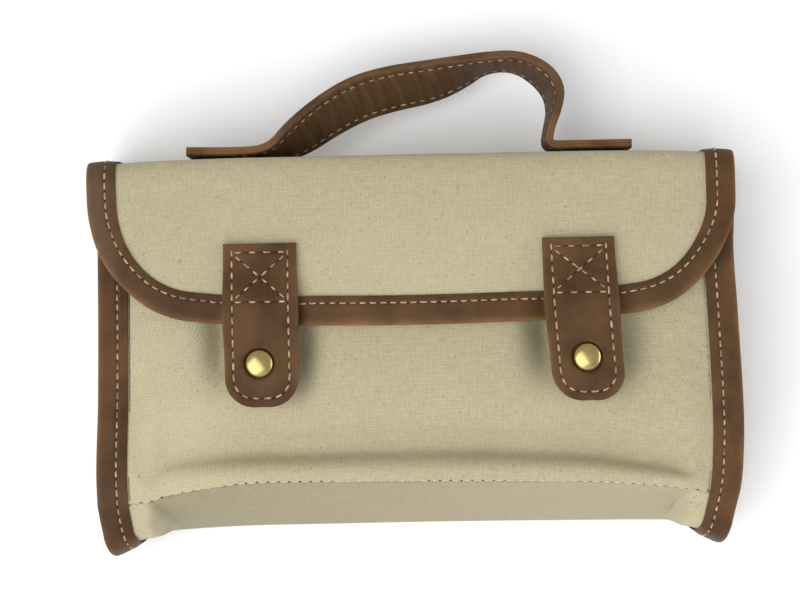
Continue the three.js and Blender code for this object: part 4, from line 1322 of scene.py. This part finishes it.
# %% [markdown]
# ## Stitches
# Hundreds of stitches follow the edges, which is what Geometry Nodes are for. The tree takes lines
# that carry the direction in which their leather faces. It spaces points along them, puts one
# arched stitch on each point and a dark bead of painted shade for the needle hole between, and
# makes them real.

# %% One stitch and one needle hole
STITCH_SIDES = 6
HOLE_SEGMENTS = 8
HOLE_RINGS = 5
HOLE_SHAPE = (1, 0.8, 0.3)  # a bead pressed flat


def stitch_shape(tree, given):
    """Arched stitch: a short cord with its ends below the leather."""
    ends = []
    for part in (-0.5, 0.5):
        x = add(tree, "ShaderNodeMath", {0: given["Length"], 1: part}, operation="MULTIPLY")
        z = add(tree, "ShaderNodeMath", {0: given["Radius"], 1: -1.0}, operation="MULTIPLY")
        ends.append(add(tree, "ShaderNodeCombineXYZ", {"X": x, "Z": z}))
    crest = add(tree, "ShaderNodeCombineXYZ", {"Z": given["Rise"]})
    bow = {"Resolution": STITCH_SIDES, "Start": ends[0], "Middle": crest, "End": ends[1]}
    arch = add(tree, "GeometryNodeCurveQuadraticBezier", bow)
    round_cord = {"Resolution": STITCH_SIDES, "Radius": given["Radius"]}
    ring = add(tree, "GeometryNodeCurvePrimitiveCircle", round_cord)
    return add(tree, "GeometryNodeCurveToMesh", {"Curve": arch, "Profile Curve": ring, "Fill Caps": True})


def hole_shape(tree, given):
    """Dark bead of painted shade for a needle hole, half a pitch further along the line."""
    round_bead = {"Segments": HOLE_SEGMENTS, "Rings": HOLE_RINGS, "Radius": given["Hole"]}
    bead = add(tree, "GeometryNodeMeshUVSphere", round_bead)
    step = add(tree, "ShaderNodeMath", {0: given["Pitch"], 1: 0.5}, operation="MULTIPLY")
    ahead = add(tree, "ShaderNodeCombineXYZ", {"X": step})
    moved = {"Geometry": bead, "Translation": ahead, "Scale": HOLE_SHAPE}
    return add(tree, "GeometryNodeTransform", moved)


# %% A tree that sews along a line
SEWING_INPUTS = (
    ("Line", "Geometry"), ("Pitch", "Float"), ("Length", "Float"), ("Radius", "Float"),
    ("Rise", "Float"), ("Hole", "Float"), ("Thread", "Material"), ("Hole_Shade", "Material"),
)
SMALLEST = (0.82, 0.85, 0.8)  # scale of the shortest and thinnest stitch
LARGEST = (1.12, 1.1, 1.15)
SEWING_SEED = 5


def sewing_tree():
    """Geometry Nodes that sew along lines, with sizes as inputs."""
    tree = bpy.data.node_groups.new("sew_along_line", "GeometryNodeTree")
    for label, kind in SEWING_INPUTS:
        tree.interface.new_socket(label, in_out="INPUT", socket_type=f"NodeSocket{kind}")
    tree.interface.new_socket("Seam", in_out="OUTPUT", socket_type="NodeSocketGeometry")
    given = add(tree, "NodeGroupInput").node.outputs
    curve = add(tree, "GeometryNodeMeshToCurve", {"Mesh": given["Line"]})
    spacing = {"Curve": curve, "Length": given["Pitch"]}
    spaced = add(tree, "GeometryNodeResampleCurve", spacing, mode="LENGTH")
    ahead = add(tree, "GeometryNodeInputTangent")
    facing = add(tree, "GeometryNodeInputNamedAttribute", {"Name": "facing"}, data_type="FLOAT_VECTOR")
    along = add(tree, "FunctionNodeAlignRotationToVector", {"Vector": ahead}, axis="X")
    upright = {"Rotation": along, "Vector": facing}
    turn = add(tree, "FunctionNodeAlignRotationToVector", upright, axis="Z", pivot_axis="X")
    uneven = {"Min": SMALLEST, "Max": LARGEST, "Seed": SEWING_SEED}
    size = add(tree, "FunctionNodeRandomValue", uneven, data_type="FLOAT_VECTOR")
    join = add(tree, "GeometryNodeJoinGeometry")
    stitch, hole = stitch_shape(tree, given), hole_shape(tree, given)
    for shape, scale, finish in ((stitch, size, "Thread"), (hole, (1, 1, 1), "Hole_Shade")):
        sewn = {"Points": spaced, "Instance": shape, "Rotation": turn, "Scale": scale}
        placed = add(tree, "GeometryNodeInstanceOnPoints", sewn)
        real = add(tree, "GeometryNodeRealizeInstances", {"Geometry": placed})
        dressed = add(tree, "GeometryNodeSetMaterial", {"Geometry": real, "Material": given[finish]})
        tree.links.new(dressed, join.node.inputs[0])
    tree.links.new(join, tree.nodes.new("NodeGroupOutput").inputs[0])
    return tree


sewing = sewing_tree()
sockets = {item.name: item.identifier for item in sewing.interface.items_tree if item.in_out == "INPUT"}
print("inputs of the tree:", list(sockets))


# %% Sew a set of lines
def sew(name, lines, pitch, length, radius=0.4, rise=0.7, hole=0.5, yarn=thread):
    """Stitches along lines of (points, facing), each as (axis, place) in millimetres."""
    points, facing, edges = [], [], []
    for place, face in lines:
        first = len(points)
        points += (swayed(place).T * MM).tolist()
        facing += face.T.tolist()
        edges += [(k, k + 1) for k in range(first, len(points) - 1)]
    mesh = bpy.data.meshes.new(name)
    mesh.from_pydata(points, edges, [])
    mesh.attributes.new("facing", "FLOAT_VECTOR", "POINT").data.foreach_set("vector", np.ravel(facing))
    line = bpy.data.objects.new(name, mesh)
    bpy.context.scene.collection.objects.link(line)
    sewer = line.modifiers.new("sew", "NODES")
    sewer.node_group = sewing
    sizes = {"Pitch": pitch, "Length": length, "Radius": radius, "Rise": rise, "Hole": hole}
    for label, value in sizes.items():
        sewer[sockets[label]] = value * MM
    sewer[sockets["Thread"]] = yarn
    sewer[sockets["Hole_Shade"]] = needle_hole_shade
    evaluated = line.evaluated_get(bpy.context.evaluated_depsgraph_get())
    line.data = bpy.data.meshes.new_from_object(evaluated)
    line.modifiers.remove(sewer)
    line.data.shade_smooth()
    settle(line, "canvas")
    print(name, len(line.data.polygons), "faces")


def edge_line(edge, out, up):
    """Line along an edging at a distance out and a height, with the way that it faces."""
    place = edge([out], [up])[..., 0]
    return place, edge([out], [up + math.copysign(1, up)])[..., 0] - place


# %% [markdown]
# ## Seams in the leather
# Each strip of leather gave us a function for its points, so a seam is the same function at the
# floor of the furrow. The edging is sewn with small stitches, and the tabs and the strap with
# longer spaces between them. The side seams show their stitches on both faces.

# %% Seams of the edging
FURROW_FLOOR = FURROW * 0.7
lines = [edge_line(flap_edge, FLAP_WIDTH - STITCH_INSET, FLAP_DEPTH - FURROW_FLOOR)]
sew("flap_stitches", lines, pitch=3.9, length=2.6)
for name in SIDES:
    strip = partial(lay_off, seams[name][0])
    level = SIDE_DEPTH - FURROW_FLOOR
    lines = [edge_line(strip, LEG_START + STITCH_INSET, up) for up in (level, -level)]
    sew(f"side_stitches_{name}", lines, pitch=3.8, length=2.4)

# %% Seams of the tabs
TAB_FACE = TAB_THICKNESS / 2 - FURROW_FLOOR


def tab_line(tab, seam):
    """Line of stitches on a tab, at even places along a seam about its snap."""
    far = np.append(0, np.cumsum(np.linalg.norm(np.diff(seam, axis=1), axis=0)))
    evenly = np.linspace(0, far[-1], int(far[-1]) + 2)
    x, y = np.interp(evenly, far, seam[0]), np.interp(evenly, far, seam[1])
    slope = (tab_height(y + 1) - tab_height(y - 1)) / 2
    facing = np.stack([np.zeros_like(x), -slope, np.ones_like(x)])
    return put_tab(tab, x, y, tab_height(y) + tab_waves(x, y) + TAB_FACE), facing


for name, tab in TABS.items():
    lines = [tab_line(tab, seam) for seam in tab_seams(tab)]
    sew(f"tab_stitches_{name}", lines, pitch=4.4, length=2.7)

# %% Seams of the strap
STRAP_END = 3  # stations without stitches at either end
STRAP_FACE = STRAP_HALF_THICKNESS - FURROW_FLOOR
lines = []
for across in (STRAP_BORDER - STRAP_HALF_WIDTH, STRAP_HALF_WIDTH - STRAP_BORDER):
    for side in (-1, 1):
        place, facing = edge_line(strap_at, across, side * STRAP_FACE)
        lines.append((place[:, STRAP_END:-STRAP_END], facing[:, STRAP_END:-STRAP_END]))
sew("strap_stitches", lines, pitch=4.0, length=2.1, radius=0.3, rise=0.5, hole=0.42)

# %% [markdown]
# ## The hem of the front
# The front is sewn to the base with cotton thread, just above its hem. The stitches are small and
# sunk in the cloth, so their needle holes show more than the thread does.

# %% Seam of the hem
HEM_SPAN = 4.95
HEM_END = 2  # from the side seams
HEM_PLACES = 160
SUNK = 0.1
x = np.linspace(HEM_END - SEAM_X, SEAM_X - HEM_END, HEM_PLACES)
t = np.full_like(x, HEM_SPAN)
facing = outward(front_at, x, t)
lines = [(front_at(x, t) + (CANVAS / 2 - SUNK) * facing, facing)]
sew("hem_stitches", lines, pitch=4.2, length=1.9, radius=0.3, rise=0.45, hole=0.55, yarn=cotton)

# %% [markdown]
# ## Floor and light
# The photograph was taken on white paper under one large soft lamp from the lower left, with
# white all round. A broad lamp gives soft shadows to the upper right. A pale room and two weak
# lamps, for light thrown back from below and from the right, fill those shadows.

# %% Floor
FLOOR_HALF = 3.0  # metres
FLOOR_Z = -0.0003  # where the lowest cloth touches
TOOTH = 50 / 3 * MM  # soft patches in the paper

# Matt and almost white.
paper, shader, _ = small_finish("white_paper_sweep", TOOTH, 2.0, "#ececec", "#f0f0f0")
plug(shader, {"Roughness": 0.95})
mesh = bpy.data.meshes.new("paper_floor")
square = ((-1, -1), (1, -1), (1, 1), (-1, 1))
mesh.from_pydata([(x * FLOOR_HALF, y * FLOOR_HALF, FLOOR_Z) for x, y in square], [], [(0, 1, 2, 3)])
mesh.materials.append(paper)
floor = bpy.data.objects.new("paper_floor", mesh)
bpy.context.scene.collection.objects.link(floor)
print("floor:", 2 * FLOOR_HALF, "m wide")

# %% Lights
LAMPS = (  # name, place and size in metres, and power in watts
    ("key_softbox", (-1.02, -0.74, 1.85), (2.4, 2.7), 58.5),
    ("front_bounce", (0.1, -1.3, 0.8), (1.6, 0.6), 1.8),
    ("right_bounce", (1.3, -0.1, 0.45), (1.0, 0.35), 5),
)
LAMP_TARGET = (0, 0, 0.03)
ROOM_COLOUR = "#f4f5f7"
ROOM_STRENGTH = 0.75


def lamp(name, place, size, power):
    """Soft lamp of some width and height that looks at the pouch."""
    light = bpy.data.lights.new(name, "AREA")
    light.shape = "RECTANGLE"
    light.size, light.size_y = size
    light.energy = power
    holder = bpy.data.objects.new(name, light)
    holder.location = place
    aim = np.array(LAMP_TARGET) - np.array(place)
    level = math.hypot(aim[0], aim[1])
    holder.rotation_euler = (math.atan2(level, -aim[2]), 0, math.atan2(aim[1], aim[0]) - math.pi / 2)
    bpy.context.scene.collection.objects.link(holder)


for row in LAMPS:
    lamp(*row)
world = bpy.data.worlds.new("pale_room")
world.use_nodes = True
plug(world.node_tree.nodes["Background"], {"Color": linear(ROOM_COLOUR), "Strength": ROOM_STRENGTH})
bpy.context.scene.world = world
bpy.context.scene.view_settings.view_transform = "Standard"
print("lamps:", len(LAMPS))
